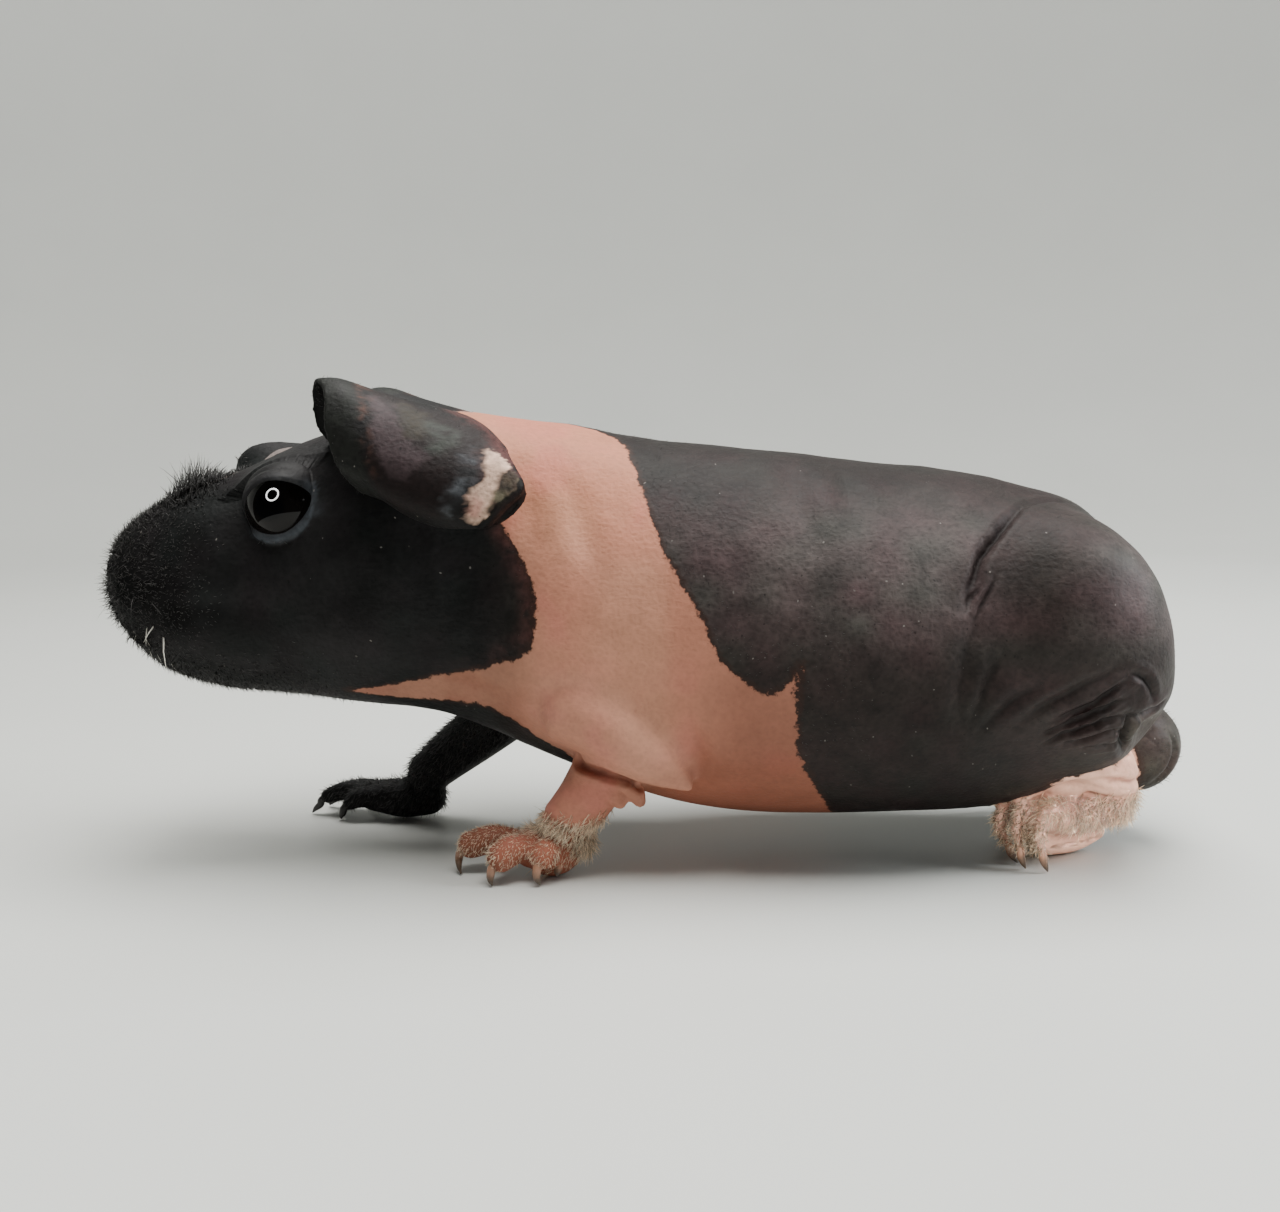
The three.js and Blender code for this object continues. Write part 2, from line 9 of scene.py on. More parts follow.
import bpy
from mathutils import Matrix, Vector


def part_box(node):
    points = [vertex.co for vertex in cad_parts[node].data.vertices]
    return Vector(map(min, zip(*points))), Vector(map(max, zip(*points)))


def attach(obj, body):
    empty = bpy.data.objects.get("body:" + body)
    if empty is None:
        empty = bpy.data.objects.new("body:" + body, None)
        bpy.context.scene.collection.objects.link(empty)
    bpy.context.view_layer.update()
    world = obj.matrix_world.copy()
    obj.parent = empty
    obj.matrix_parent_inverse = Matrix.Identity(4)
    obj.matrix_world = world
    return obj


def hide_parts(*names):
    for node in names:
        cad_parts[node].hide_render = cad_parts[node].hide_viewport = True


bl_info = {
    "name": "Hairless Guinea Pig",
    "version": (1, 0, 0),
    "blender": (4, 5, 0),
    "location": "View3D > Sidebar > Guinea Pig",
    "description": "Builds the skin, eyes, claws, whiskers and short fur of a hairless guinea pig",
    "category": "Add Mesh",
}

from math import radians

import bmesh
import bpy
import numpy as np
from mathutils import Matrix, Vector

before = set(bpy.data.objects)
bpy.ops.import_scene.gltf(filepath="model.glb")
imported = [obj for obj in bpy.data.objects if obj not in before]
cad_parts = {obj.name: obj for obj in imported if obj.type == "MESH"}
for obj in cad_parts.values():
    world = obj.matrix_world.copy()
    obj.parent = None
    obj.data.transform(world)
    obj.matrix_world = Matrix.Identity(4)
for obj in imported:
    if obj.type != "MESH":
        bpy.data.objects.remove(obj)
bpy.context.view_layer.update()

MM = 0.001
SIDES = {"left": -1, "right": 1}

# ---- the animal's shape, in millimetres --------------------------------

# Outline of head, neck and trunk: where a ring stands, its top, its bottom,
# half its width, and the height at which it is widest.
BODY_ROWS = np.array([
    (-114.2, 60.6, 60.6, 0, 60.6),  # nose tip
    (-112.6, 66.4, 52.8, 6.6, 60.8),
    (-109, 71.6, 46.8, 10, 60.4),
    (-103.5, 75.8, 41.4, 12.4, 59.6),  # lips
    (-97, 79, 38.4, 13.8, 59),
    (-88.5, 82, 36.3, 15.8, 59),
    (-79, 85.2, 35.2, 18.4, 59.6),
    (-70, 89, 34.6, 21.2, 60.2),  # eyes
    (-61, 91.9, 33.4, 23.6, 60.4),
    (-52, 93.8, 32.4, 24.8, 60.2),  # crown
    (-43, 95, 31.2, 24.8, 59.6),
    (-34, 94.6, 28, 24.6, 58),  # throat
    (-25, 93.2, 23.8, 25.4, 55),
    (-15, 91.8, 19.6, 27.6, 51.4),  # chest
    (-4, 89.8, 15, 30.6, 48),
    (8, 87.8, 11.4, 33.8, 45.4),
    (22, 86.6, 9.4, 36.6, 43.6),
    (38, 84.6, 9, 38.2, 42.6),  # belly
    (54, 82.6, 9.2, 37.6, 42.2),
    (69, 80.8, 9.4, 34.8, 42.4),
    (82, 77.8, 11, 31.2, 42.6),  # hips
    (93, 73.8, 16, 26.6, 42.4),
    (102, 64.4, 22.6, 21, 41.8),
    (108.4, 55, 27.4, 14.4, 40.6),
    (112.2, 46.6, 32.6, 7.2, 39.4),
    (113.8, 39, 39, 0, 39),  # rump
])
SECTION_POWER = 2.25  # 2 is an ellipse, more is squarer
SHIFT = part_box("head")[0].x / MM - BODY_ROWS[0, 0]  # from these places to the frame's

# Soft masses that swell out of the body: centre, radii, lean about Y, how widely
# each blends in, and the sides that it is made on.
BOTH, LEFT, RIGHT, MIDDLE = (-1, 1), (-1,), (1,), (1,)
MASSES = [
    ((-71.4, 12.4, 77.8), (9.4, 7, 7), 0.12, 6, LEFT),  # brow
    ((-73.6, 12.6, 80.4), (10.4, 7.2, 7.4), 0.12, 5, RIGHT),
    ((-80.6, 11.6, 81.6), (8.8, 6.2, 7), 0.25, 3, RIGHT),  # the head is turned a little
    ((-104, 6, 58.6), (6.4, 5.8, 7.2), 0.2, 4, BOTH),  # whisker pad
    ((-86, 9, 52), (15, 7.6, 12), 0.3, 6, BOTH),  # cheek
    ((-9, 21.5, 50), (15, 9.4, 21), 0.25, 9, BOTH),  # shoulder
    ((86.3, 21.6, 48), (20.8, 15.8, 25.8), -0.3, 8, BOTH),  # haunch
    ((106.3, 0, 21.2), (10.8, 10.6, 10.2), 0, 2.5, MIDDLE),  # pouch
]

# Limbs: centre of each station, then its radius across and its radius up.
LEFT_FORELEG = [
    (-5, -18.5, 38, 9.5, 11), (-4.5, -20.5, 28, 7.8, 8.4),
    (-10, -21.8, 18.8, 6, 6.2), (-15.2, -21.8, 11.6, 5.6, 5.6),
]
LEFT_FLAP = [  # the loose skin over the elbow
    (-12, -22.6, 37, 9.2, 9.8), (-4, -25.6, 31.4, 7.8, 7.8),
    (3.6, -27.4, 25.4, 5.2, 5.4), (9.4, -28.4, 20.6, 1.6, 1.8),
]
LEFT_ROLL_1 = [(-10.6, -24, 25, 2, 2.2), (-7.6, -25.6, 20.6, 2.1, 2.3), (-4.4, -26, 16.6, 1.4, 1.5)]
LEFT_ROLL_2 = [(-5.6, -24.6, 24.4, 2, 2.2), (-2.6, -25.6, 20.2, 2, 2.2), (-0.4, -26, 16.8, 1.3, 1.4)]
LEFT_PALM = [
    (-14.6, -20.4, 7.4, 4.8, 5.2), (-18.6, -21, 5.4, 5.6, 6), (-22.6, -21.4, 6, 4.8, 4.8),
]
LEFT_FORE_TOES = [
    [(-23.6, -19.4, 6.4, 2.7, 2.8), (-30.8, -18.6, 7, 3.6, 3.5), (-35.6, -18.8, 5.9, 3.3, 3.4)],
    [(-21.6, -22.6, 6.2, 2.7, 2.8), (-26.4, -25, 6.6, 3.7, 3.7), (-28.8, -26.8, 5.5, 3.3, 3.6)],
    [(-17.4, -23.8, 5.8, 2.5, 2.7), (-19.4, -26.2, 6.5, 3, 3.3), (-20.4, -27.6, 5.5, 2.6, 3)],
    [(-14.8, -20.6, 4.6, 2.4, 2.6), (-15.8, -22.8, 4.4, 2.1, 2.3), (-16.6, -24, 3.8, 1.7, 1.8)],
]
LEFT_FORE_TIPS = [
    (-37.6, -21, 0.5), (-30.4, -28.8, 0.5), (-20.8, -28.8, 0.5), (-17.4, -25.4, 1.2),
]
RIGHT_FORELEG = [
    (-25, 17, 34, 9, 10.5), (-33, 19.4, 24.6, 7, 7.8),
    (-41.4, 21.2, 17.6, 6.4, 6.8), (-49.6, 22.4, 11, 5.6, 5.8),
]
RIGHT_ELBOW = [
    (-24, 17, 38, 8, 8.6), (-14, 21, 29, 7.2, 7.4), (-3, 24, 22.6, 3.6, 3.8),
]
RIGHT_PALM = [
    (-50, 22.8, 4.9, 4.9, 5), (-56, 23.6, 4.6, 5.9, 5.3), (-62.6, 24.4, 5, 5.2, 4.4),
]
RIGHT_FORE_TOES = [
    [(-60, 22.6, 5.6, 3, 3.2), (-65.4, 21.6, 5.2, 3, 3.2), (-68.2, 21.2, 4, 2.3, 2.5)],
    [(-61, 24.8, 5.8, 3.2, 3.2), (-69.6, 25.8, 5.8, 3.1, 3.1), (-74.4, 26.2, 4.4, 2.3, 2.5)],
    [(-61, 26.6, 5.6, 3, 3.2), (-68, 29.8, 5.4, 2.9, 3), (-72, 31.4, 4.2, 2.2, 2.4)],
    [(-57, 26.6, 4.8, 2.6, 2.8), (-61.2, 30.4, 4.4, 2.3, 2.5), (-63.2, 32, 3.6, 1.8, 2)],
]
RIGHT_FORE_TIPS = [
    (-70.2, 21, 0.5), (-78, 26.6, 0.5), (-75.2, 33, 0.5), (-65.4, 33.8, 1),
]
LEFT_SHANK = [
    (88, -18.6, 28, 7, 8.4), (96.2, -14.8, 20.6, 5.8, 6.6), (98.8, -11.4, 13.4, 5, 6),
]
LEFT_WEB = [(95, -14.6, 18.6, 3.4, 3.4), (90, -15.4, 17, 2.8, 2.8), (86, -15.8, 17.4, 2.4, 2.6)]
LEFT_SOLE = [
    (100.2, -10.4, 10.2, 4.2, 4.6), (93.4, -12.8, 9.9, 4.8, 4.8),
    (87, -15, 10, 5.2, 4.6), (82.4, -15.8, 10.6, 4.2, 3.8),
]
LEFT_PAD = [(96.4, -8.2, 6.8, 3, 4.6), (91.4, -9.6, 4.8, 3.2, 4.8), (85, -12, 4.8, 3.6, 4.8)]
LEFT_HIND_TOES = [
    [(82.6, -13, 10.4, 2.8, 3.2), (76.8, -14.2, 10.9, 2.2, 2.5),
     (74.8, -15.8, 7.4, 1.6, 1.8), (76.4, -16.9, 4.2, 1.25, 1.3)],
    [(84, -15.8, 11, 2.8, 3.2), (79.4, -17.6, 11.9, 2.2, 2.5),
     (77.4, -19.7, 8.2, 1.6, 1.8), (77.9, -20.8, 4.6, 1.25, 1.3)],
    [(86.4, -17.6, 10.6, 2.8, 3.2), (83.2, -20.2, 11, 2.2, 2.5),
     (81.4, -22, 7.6, 1.6, 1.8), (81.9, -22.9, 4.6, 1.25, 1.3)],
]
LEFT_HIND_TIPS = [(78.2, -17.4, 0.5), (79, -21.2, 0.5), (83, -23.4, 0.5)]
RIGHT_HIND_SHIFT = 7.0  # the right hind foot stands this much further back

# The ear is a sheet carried from its front rim to its rear tip. Each row
# climbs from the crown, passes over the ridge and hangs down outside.
EAR_ROWS = np.array([
    [(-61, -10, 86), (-65.3, -14, 91.6), (-65.9, -16.8, 97.8), (-64.2, -21.4, 101.7),
     (-60.8, -28, 99.6), (-60.3, -31, 93.4), (-58.2, -30.4, 85.4), (-55.2, -25, 79.8)],
    [(-56, -10, 87), (-59.4, -14, 93.6), (-60.3, -18, 99.4), (-58.6, -23.6, 101.3),
     (-56.2, -29, 98.2), (-55.4, -31.8, 90.6), (-53, -31, 82.6), (-49.5, -25, 78)],
    [(-50, -10, 88), (-51.6, -14.4, 94.6), (-52, -18.8, 98), (-51.2, -24, 98.6),
     (-49.8, -29.6, 94.6), (-49, -33.4, 87.2), (-47.2, -33, 79.6), (-45, -28, 75.4)],
    [(-42, -10, 88), (-42.6, -14.8, 93.6), (-42.4, -19.6, 96), (-41.6, -25, 95.4),
     (-40.6, -31, 91), (-40, -35, 84), (-39.4, -35.2, 77.2), (-38.6, -32.2, 73)],
    [(-33, -12, 87), (-32.8, -16.2, 91.4), (-32.4, -20.8, 93), (-31.8, -26, 91.8),
     (-31, -31.4, 87.8), (-30.5, -35, 82), (-31, -36, 77), (-32.3, -35.4, 72.8)],
    [(-28.5, -17, 85.6), (-27.6, -20.2, 87.4), (-26.8, -24, 88), (-26, -28.6, 87),
     (-24.3, -33.2, 84.6), (-22.6, -35.4, 81), (-26, -36.4, 77.4), (-29.9, -35.8, 73)],
    [(-28.3, -17, 85.5), (-27.4, -20.2, 87.2), (-26.6, -24, 87.7), (-25.7, -28.2, 86.6),
     (-24.4, -30.4, 84), (-23.4, -30.2, 80), (-25.8, -30.2, 76.6), (-29.1, -30.8, 73.2)],
    [(-28.1, -17, 85.4), (-27.2, -20.2, 87), (-26.4, -24, 87.5), (-25.3, -29, 86.4),
     (-24, -32, 83.8), (-21.7, -32.5, 79.6), (-23.8, -32.5, 76), (-27.4, -32.3, 73.6)],
], float)
RIGHT_EAR_DROP = 2.2  # the right ear lies lower and a little further back
RIGHT_EAR_BACK = 3.0

EYE_CENTRE = (-72.6, 14.2, 76.6)  # right eye, the left one is mirrored
EYE_RADIUS = 7.6
EYE_OUTWARD = (-0.14, 1, 0.04)  # where the right eye looks
EYE_TILT = 19.0  # degrees by which the front corner is lower than the rear one
CORNEA_BULGE = 0.35
LID_FADE = (12.5, 16.5)  # from this distance to that the lids' shape gives way to the skin's
OPENING_DROP, OPENING_POWER = 0.45, 1.75  # the opening sits a little low, with pointed corners


def mirrored(stations, shift=0):
    """The same stations on the other side, moved along X by the shift."""
    return [(x + shift, -y, z, *radii) for x, y, z, *radii in stations]


LEGS = {
    "left_fore": {
        "limbs": [LEFT_FORELEG, LEFT_FLAP, LEFT_ROLL_1, LEFT_ROLL_2], "sole": LEFT_PALM,
        "toes": LEFT_FORE_TOES, "tips": LEFT_FORE_TIPS, "claw": "claw_pale",
    },
    "right_fore": {
        "limbs": [RIGHT_FORELEG, RIGHT_ELBOW], "sole": RIGHT_PALM,
        "toes": RIGHT_FORE_TOES, "tips": RIGHT_FORE_TIPS, "claw": "claw_dark",
    },
    "left_hind": {
        "limbs": [LEFT_SHANK, LEFT_WEB, LEFT_PAD], "sole": LEFT_SOLE,
        "toes": LEFT_HIND_TOES, "tips": LEFT_HIND_TIPS, "claw": "claw_pale",
    },
    "right_hind": {
        "limbs": [mirrored(LEFT_SHANK, RIGHT_HIND_SHIFT * 0.7), mirrored(LEFT_PAD, RIGHT_HIND_SHIFT)],
        "sole": mirrored(LEFT_SOLE, RIGHT_HIND_SHIFT),
        "toes": [mirrored(toe, RIGHT_HIND_SHIFT) for toe in LEFT_HIND_TOES],
        "tips": mirrored(LEFT_HIND_TIPS, RIGHT_HIND_SHIFT), "claw": "claw_dark",
    },
}
FLESH_NODES = [
    "head", "neck", "trunk", "left_ear", "right_ear",
    "left_fore_leg", "left_fore_paw", "right_fore_leg", "right_fore_paw",
    "left_hind_leg", "left_hind_foot", "right_hind_leg", "right_hind_foot",
]

# Folds that both sides have, given on the left: width and depth of the crease,
# height of the roll beside it, and the line that it follows over the skin.
FOLDS = {
    "haunch_top": (0.9, 0.5, 0.25, [(90, -8, 75), (84, -13, 76), (79, -17, 74), (74, -22, 72.5)]),
    "haunch_front": (1, 1.9, 0.35, [
        (76, -20, 73.6), (72.2, -24.4, 71.2), (69.8, -26.3, 69), (67.7, -28, 67), (66.1, -29.3, 64.3),
        (64.8, -30.4, 61.7), (63.3, -32.2, 58.8), (61.8, -34, 56)]),
    "haunch_second": (0.55, 0.7, 0.3, [
        (67.4, -32, 62.8), (65.5, -32.7, 60), (63.9, -33.1, 58), (62.8, -34, 55.6)]),
    "haunch_third": (0.6, 0.6, 0.25, [
        (69.2, -32.2, 64), (67.6, -33.3, 60), (65.6, -34.3, 57), (64.4, -35, 54)]),
    "thigh_front": (1.5, 0.7, 0.25, [
        (66, -34, 58), (64, -35.6, 52), (62.4, -36.2, 46), (61.6, -36, 40), (61.2, -35.8, 34)]),
    "thigh_long": (1.3, 0.8, 0.3, [
        (70.4, -35.8, 49), (68, -35.5, 44), (66.2, -35.2, 39), (64, -35, 34.5)]),
    "thigh_short": (1.2, 0.7, 0.25, [
        (77, -35.8, 42), (73, -35.6, 39), (69.4, -35.4, 36), (66, -34.8, 32)]),
    "fan_top": (1, 0.7, 0.4, [
        (93, -36.4, 46), (89, -36.6, 43.6), (84, -36, 41), (78, -35.4, 37.4), (73, -35, 33.4)]),
    "fan_1": (0.65, 1.2, 0.45, [
        (94.4, -36.3, 42.4), (91.4, -36.8, 40.9), (88.8, -36.2, 38.8), (85.2, -35.4, 36.7),
        (80, -34.9, 34)]),
    "fan_2": (0.65, 1.5, 0.45, [
        (94.6, -35.9, 38.6), (90.7, -36.3, 37.3), (87, -36.1, 35.3), (82.4, -35.4, 33), (78, -35, 30.6)]),
    "fan_3": (0.65, 1.5, 0.45, [
        (94.8, -35.5, 35.2), (91.1, -35.3, 34.3), (87.4, -34.7, 33), (82.8, -34, 31.4),
        (79, -33.6, 28.8)]),
    "fan_4": (0.6, 1.3, 0.4, [
        (95, -33.5, 31.8), (91.4, -34.6, 31.3), (86.8, -33.8, 30.2), (82, -33.5, 28.8)]),
    "fan_5": (0.6, 1, 0.35, [(94.9, -33.2, 28.6), (91.2, -32.6, 28), (86.8, -33, 27.6)]),
    "hem": (0.9, 1.6, 0.3, [
        (84, -22, 19.4), (88.6, -22, 20.4), (93.5, -22, 21.4), (98.9, -21, 23.4), (103, -17, 24)]),
    "knee_back": (0.8, 0.9, 0.4, [
        (93.6, -36, 44), (96.6, -35, 43.4), (99.6, -33.4, 40.6), (100.4, -32.6, 37)]),
    "knee_rear": (1, 2.2, 0.4, [
        (95.2, -35.2, 35.6), (95.8, -34.6, 33.4), (95.5, -33.4, 31.2), (95.6, -32.8, 29),
        (96.6, -31, 26.6), (98.8, -27.8, 24.4)]),
    "knee_low": (1, 1.9, 0.4, [
        (95.6, -34.8, 34.6), (97.6, -34.2, 34.2), (99.8, -33.2, 34.4), (102.2, -31.6, 35),
        (105.4, -27.6, 36.2)]),
    "knee_hollow": (4.2, 2.4, 0, [
        (97.4, -32, 29.6), (100.6, -30.4, 29.6), (103.6, -27.6, 29.4), (106, -23, 29)]),
}
RIGHT_FOLD_SHIFT = (2.5, 0, 0.8)  # so that the two sides aren't exact mirrors
# Folds of the left side alone.
LEFT_FOLDS = {
    "sleeve": (0.8, 1.9, 0.4, [
        (-17, -22, 31), (-15.6, -24, 27.6), (-12, -25.4, 24.4), (-6, -26.4, 22.4), (0, -27, 20.4),
        (6, -27, 18.4)]),
    "flap_back": (2.2, 1, 0.4, [(10, -27, 19), (11.6, -29, 24), (11.4, -31, 30), (9, -32, 36)]),
    "flap_front": (2.4, 0.45, 0.15, [(-18, -20, 30), (-18, -22, 35), (-15.6, -24, 39.6), (-11, -26, 42)]),
    "wrist": (0.7, 0.5, 0.2, [
        (-20, -19, 13.6), (-17.4, -26, 12.6), (-12.6, -26.4, 10.6), (-10.4, -23, 10)]),
    "ankle": (0.8, 0.9, 0.4, [
        (92.6, -19.6, 20.2), (97, -19.8, 18.6), (101.6, -17.4, 17.6), (105, -12, 17.4)]),
    "neck_1": (3.2, 0.55, 0.35, [
        (-24, -22, 84), (-21, -25, 76), (-20, -27, 66), (-23, -27, 56), (-29, -25, 48)]),
    "neck_2": (2.6, 0.4, 0.25, [(-17, -21, 87), (-13, -26, 77), (-10, -29, 68), (-6, -31, 60)]),
    "saddle_1": (2.6, 0.35, 0.3, [(29, -12, 83.6), (30.6, -20, 80), (32, -27, 75), (33.6, -31.4, 69)]),
    "saddle_2": (2.4, 0.3, 0.3, [(40.4, -10, 82.8), (41.3, -20, 79), (42, -28, 73), (42.8, -33.4, 65.6)]),
    "shoulder": (4, 0.4, 0.3, [(-22, -24, 50), (-20, -25, 42), (-19, -24, 35)]),
    "chest": (2.8, 0.4, 0.3, [(-46, -20, 44), (-38, -22, 40), (-30, -23, 37), (-24, -23, 34)]),
    "pouch_middle": (0.8, 0.8, 0.3, [(113, -8, 27), (114.4, -8.6, 22), (113, -9, 17), (109.6, -9, 13)]),
    "pouch_top": (0.7, 0.7, 0.3, [(101, -10.6, 27.4), (106, -10.4, 28.6), (111, -8, 28.6)]),
    "instep": (0.8, 0.8, 0.4, [(91.4, -16.8, 15), (96.4, -17, 14.4), (101, -15.6, 14.2)]),
}
# Folds of the muzzle, on the middle or on the right side.
MUZZLE_FOLDS = {
    "philtrum": (0.55, 0.8, 0.25, [(-113.8, 0, 61.5), (-112.4, 0, 57.5), (-110.6, 0, 53.6)]),
    "mouth": (0.7, 1.1, 0.4, [
        (-110, 0.3, 52.4), (-108, 4.2, 50.4), (-104.6, 8, 48.6), (-100.6, 10.4, 47.4)]),
    "nostril_wing": (0.6, 0.7, 0.3, [(-111.4, 4.8, 66.6), (-110.6, 6.2, 63.6), (-111.2, 5.4, 60.8)]),
}
NOSTRIL = (-112.2, 2.9, 63.6)  # the right one

# ---- numeric helpers ---------------------------------------------------


def unit(vectors):
    """Vectors of length one, along the last axis."""
    vectors = np.asarray(vectors, float)
    return vectors / np.maximum(np.linalg.norm(vectors, axis=-1, keepdims=True), 1e-9)


def turns(count):
    """That many even steps of a full turn."""
    return np.linspace(0, 2 * np.pi, count, endpoint=False)


def ramp(value, low, high):
    """0 below low, 1 above high, and a smooth step 3t^2 - 2t^3 between them."""
    t = np.clip((np.asarray(value, float) - low) / (high - low), 0.0, 1.0)
    return t * t * (3.0 - 2.0 * t)


def bell(value, middle, width):
    """1 at the middle, and e^-((value - middle) / width)^2 away from it."""
    return np.exp(-(((value - middle) / width) ** 2))


def spline(rows, u, folded=()):
    """Catmull-Rom value at each u between rows of equal length.

    Past an end the missing neighbour is mirrored; in the folded columns it is
    repeated, so that the curve leaves a tip at a right angle to that column.
    """
    rows = np.asarray(rows, float)
    last = len(rows) - 1
    u = np.clip(np.asarray(u, float).ravel(), 0.0, last)
    i = np.clip(np.floor(u).astype(int), 0, last - 1)
    t = (u - i)[:, None]
    start, end = rows[i], rows[i + 1]
    before, after = rows[np.maximum(i - 1, 0)], rows[np.minimum(i + 2, last)]
    first, final = i == 0, i == last - 1
    before[first] = 2 * start[first] - end[first]
    after[final] = 2 * end[final] - start[final]
    for column in folded:
        before[first, column] = end[first, column]
        after[final, column] = start[final, column]
    return 0.5 * (
        2 * start + (end - before) * t
        + (2 * before - 5 * start + 4 * end - after) * t**2
        + (3 * start - before - 3 * end + after) * t**3
    )


def smooth_least(a, b, width):
    """The lesser of two distances, rounded over where they differ by less than the width."""
    share = np.clip(0.5 + 0.5 * (b - a) / width, 0.0, 1.0)
    return b * (1 - share) + a * share - width * share * (1 - share)


NOISE_VALUES = 4096
NOISE_PRIMES = (73856093, 19349663, 83492791)  # they spread neighbouring cells over the values


def value_noise(points, size, seed):
    """Smooth random values from -1 to 1, one lattice step being the size in millimetres."""
    table = np.random.default_rng(seed).uniform(-1.0, 1.0, NOISE_VALUES)
    scaled = np.asarray(points, float) / size
    cell = np.floor(scaled).astype(int)
    t = scaled - cell
    t = t * t * (3 - 2 * t)
    total = np.zeros(len(scaled))
    for corner in np.ndindex(2, 2, 2):
        key = np.bitwise_xor.reduce((cell + corner) * NOISE_PRIMES, axis=1)
        weight = np.prod(np.where(np.array(corner) == 1, t, 1 - t), axis=1)
        total += weight * table[key & (NOISE_VALUES - 1)]
    return total


def strips(rows, around):
    """Triangles between rings that stand one after the other."""
    i, j = np.meshgrid(np.arange(rows - 1), np.arange(around), indexing="ij")
    a = (i * around + j).ravel()
    b = (i * around + (j + 1) % around).ravel()
    return np.concatenate([np.stack([a, b, b + around], 1), np.stack([a, b + around, a + around], 1)])


def closed_loft(rings, start, end):
    """Points and triangles through rings (rows, round, 3), closed by a point at each end."""
    rows, around, _ = rings.shape
    points = np.concatenate([start[None], rings.reshape(-1, 3), end[None]])
    turn, after = np.arange(around), (np.arange(around) + 1) % around
    base = 1 + (rows - 1) * around
    tip = np.full(around, len(points) - 1)
    faces = np.concatenate([
        np.stack([np.zeros(around, int), 1 + after, 1 + turn], 1),
        1 + strips(rows, around),
        np.stack([tip, base + turn, base + after], 1),
    ])
    return outward(points, faces)


def outward(points, faces):
    """The same triangles, turned round if the volume they enclose comes out negative."""
    a, b, c = (points[faces[:, k]] for k in range(3))
    if np.sum(a * np.cross(b, c)) < 0:
        faces = faces[:, ::-1]
    return points, faces


def joined(parts):
    """One set of points and faces from several."""
    starts = np.cumsum([0] + [len(points) for points, _ in parts[:-1]])
    points = np.concatenate([points for points, _ in parts])
    faces = np.concatenate([faces + start for (_, faces), start in zip(parts, starts)])
    return points, faces


def point_normals(points, triangles):
    """Area-weighted mean of the normals of the triangles that meet at each point."""
    a, b, c = (points[triangles[:, k]] for k in range(3))
    face = np.cross(b - a, c - a)
    total = np.stack([
        sum(np.bincount(triangles[:, k], face[:, axis], len(points)) for k in range(3))
        for axis in range(3)
    ], 1)
    return unit(total)


def mesh_edges(faces):
    """Each edge of the faces once, as pairs of points."""
    pairs = np.concatenate([
        np.stack([faces[:, k], faces[:, (k + 1) % faces.shape[1]]], 1)
        for k in range(faces.shape[1])
    ])
    pairs.sort(axis=1)
    keys = np.unique(pairs[:, 0].astype(np.int64) << 32 | pairs[:, 1])
    return np.stack([keys >> 32, keys & 0xFFFFFFFF], 1).astype(int)


def relaxed(points, edges, amount, rounds):
    """Moves each point towards the mean of its neighbours by its amount, round after round."""
    near, far = np.concatenate([edges, edges[:, ::-1]]).T
    size = np.maximum(np.bincount(near, minlength=len(points)), 1)
    points = points.copy()
    for _ in range(rounds):
        for axis in range(3):
            mean = np.bincount(near, points[far, axis], len(points)) / size
            points[:, axis] += (mean - points[:, axis]) * amount
    return points


def path_distance(points, path):
    """Distance from each point to a line of points, and its share of the way along."""
    start, step = path[:-1], np.diff(path, axis=0)
    length = np.linalg.norm(step, axis=1)
    run = np.concatenate([[0], np.cumsum(length)])
    offset = points[:, None, :] - start
    along = np.clip(np.sum(offset * step, 2) / np.maximum(length**2, 1e-12), 0, 1)
    gap = np.linalg.norm(offset - along[..., None] * step, axis=2)
    nearest = np.argmin(gap, axis=1)
    rows = np.arange(len(points))
    return gap[rows, nearest], (run[nearest] + along[rows, nearest] * length[nearest]) / run[-1]


# ---- lofts of the body, limbs and ears ---------------------------------


def body_section(u):
    """Ring place, top, bottom, half width and widest height at each u along the rows."""
    return spline(BODY_ROWS, u, folded=(0,)).T


def body_loft(rows=300, around=240):
    """Head, neck and trunk.

    At an angle t round a ring the point is y = half * |cos t|^p and
    z = wide + height * |sin t|^p, each with its sign, where p is 2 / SECTION_POWER.
    """
    u = np.linspace(0, len(BODY_ROWS) - 1, rows + 1)[1:-1]
    x, top, bottom, half, wide = (column[:, None] for column in body_section(u))
    angle = turns(around)[None, :]
    power = 2 / SECTION_POWER
    across = np.sign(np.cos(angle)) * np.abs(np.cos(angle)) ** power
    up = np.sign(np.sin(angle)) * np.abs(np.sin(angle)) ** power
    height = np.where(up > 0, top - wide, wide - bottom)
    rings = np.stack([x + 0 * angle, half * across, wide + height * up], -1)
    nose, rump = BODY_ROWS[0], BODY_ROWS[-1]
    return closed_loft(
        rings, np.array([nose[0], 0, nose[4]]), np.array([rump[0], 0, rump[4]]))


def ball_distance(points, centre, radii, lean):
    """About how far each point is outside a ball of three radii that leans about Y."""
    x, y, z = (points - centre).T
    cos, sin = np.cos(lean), np.sin(lean)
    x, z = x * cos - z * sin, x * sin + z * cos
    level = np.sqrt((x / radii[0]) ** 2 + (y / radii[1]) ** 2 + (z / radii[2]) ** 2)
    return np.sqrt(x * x + y * y + z * z) * (1 - 1 / np.maximum(level, 1e-6))


def swollen(points, normals, reach=16.0, steps=40):
    """The body with its soft masses.

    Each point starts outside, on its normal, and steps in by the smooth least
    of its distance from the body and from each mass, until that is nothing.
    """
    out = np.full(len(points), reach)
    for _ in range(steps):
        at = points + normals * out[:, None]
        gap = out
        for centre, radii, lean, blend, sides in MASSES:
            for side in sides:
                place = np.array(centre) * (1, side, 1)
                gap = smooth_least(gap, ball_distance(at, place, radii, lean), blend)
        out = out - 0.7 * gap
    return points + normals * out[:, None]


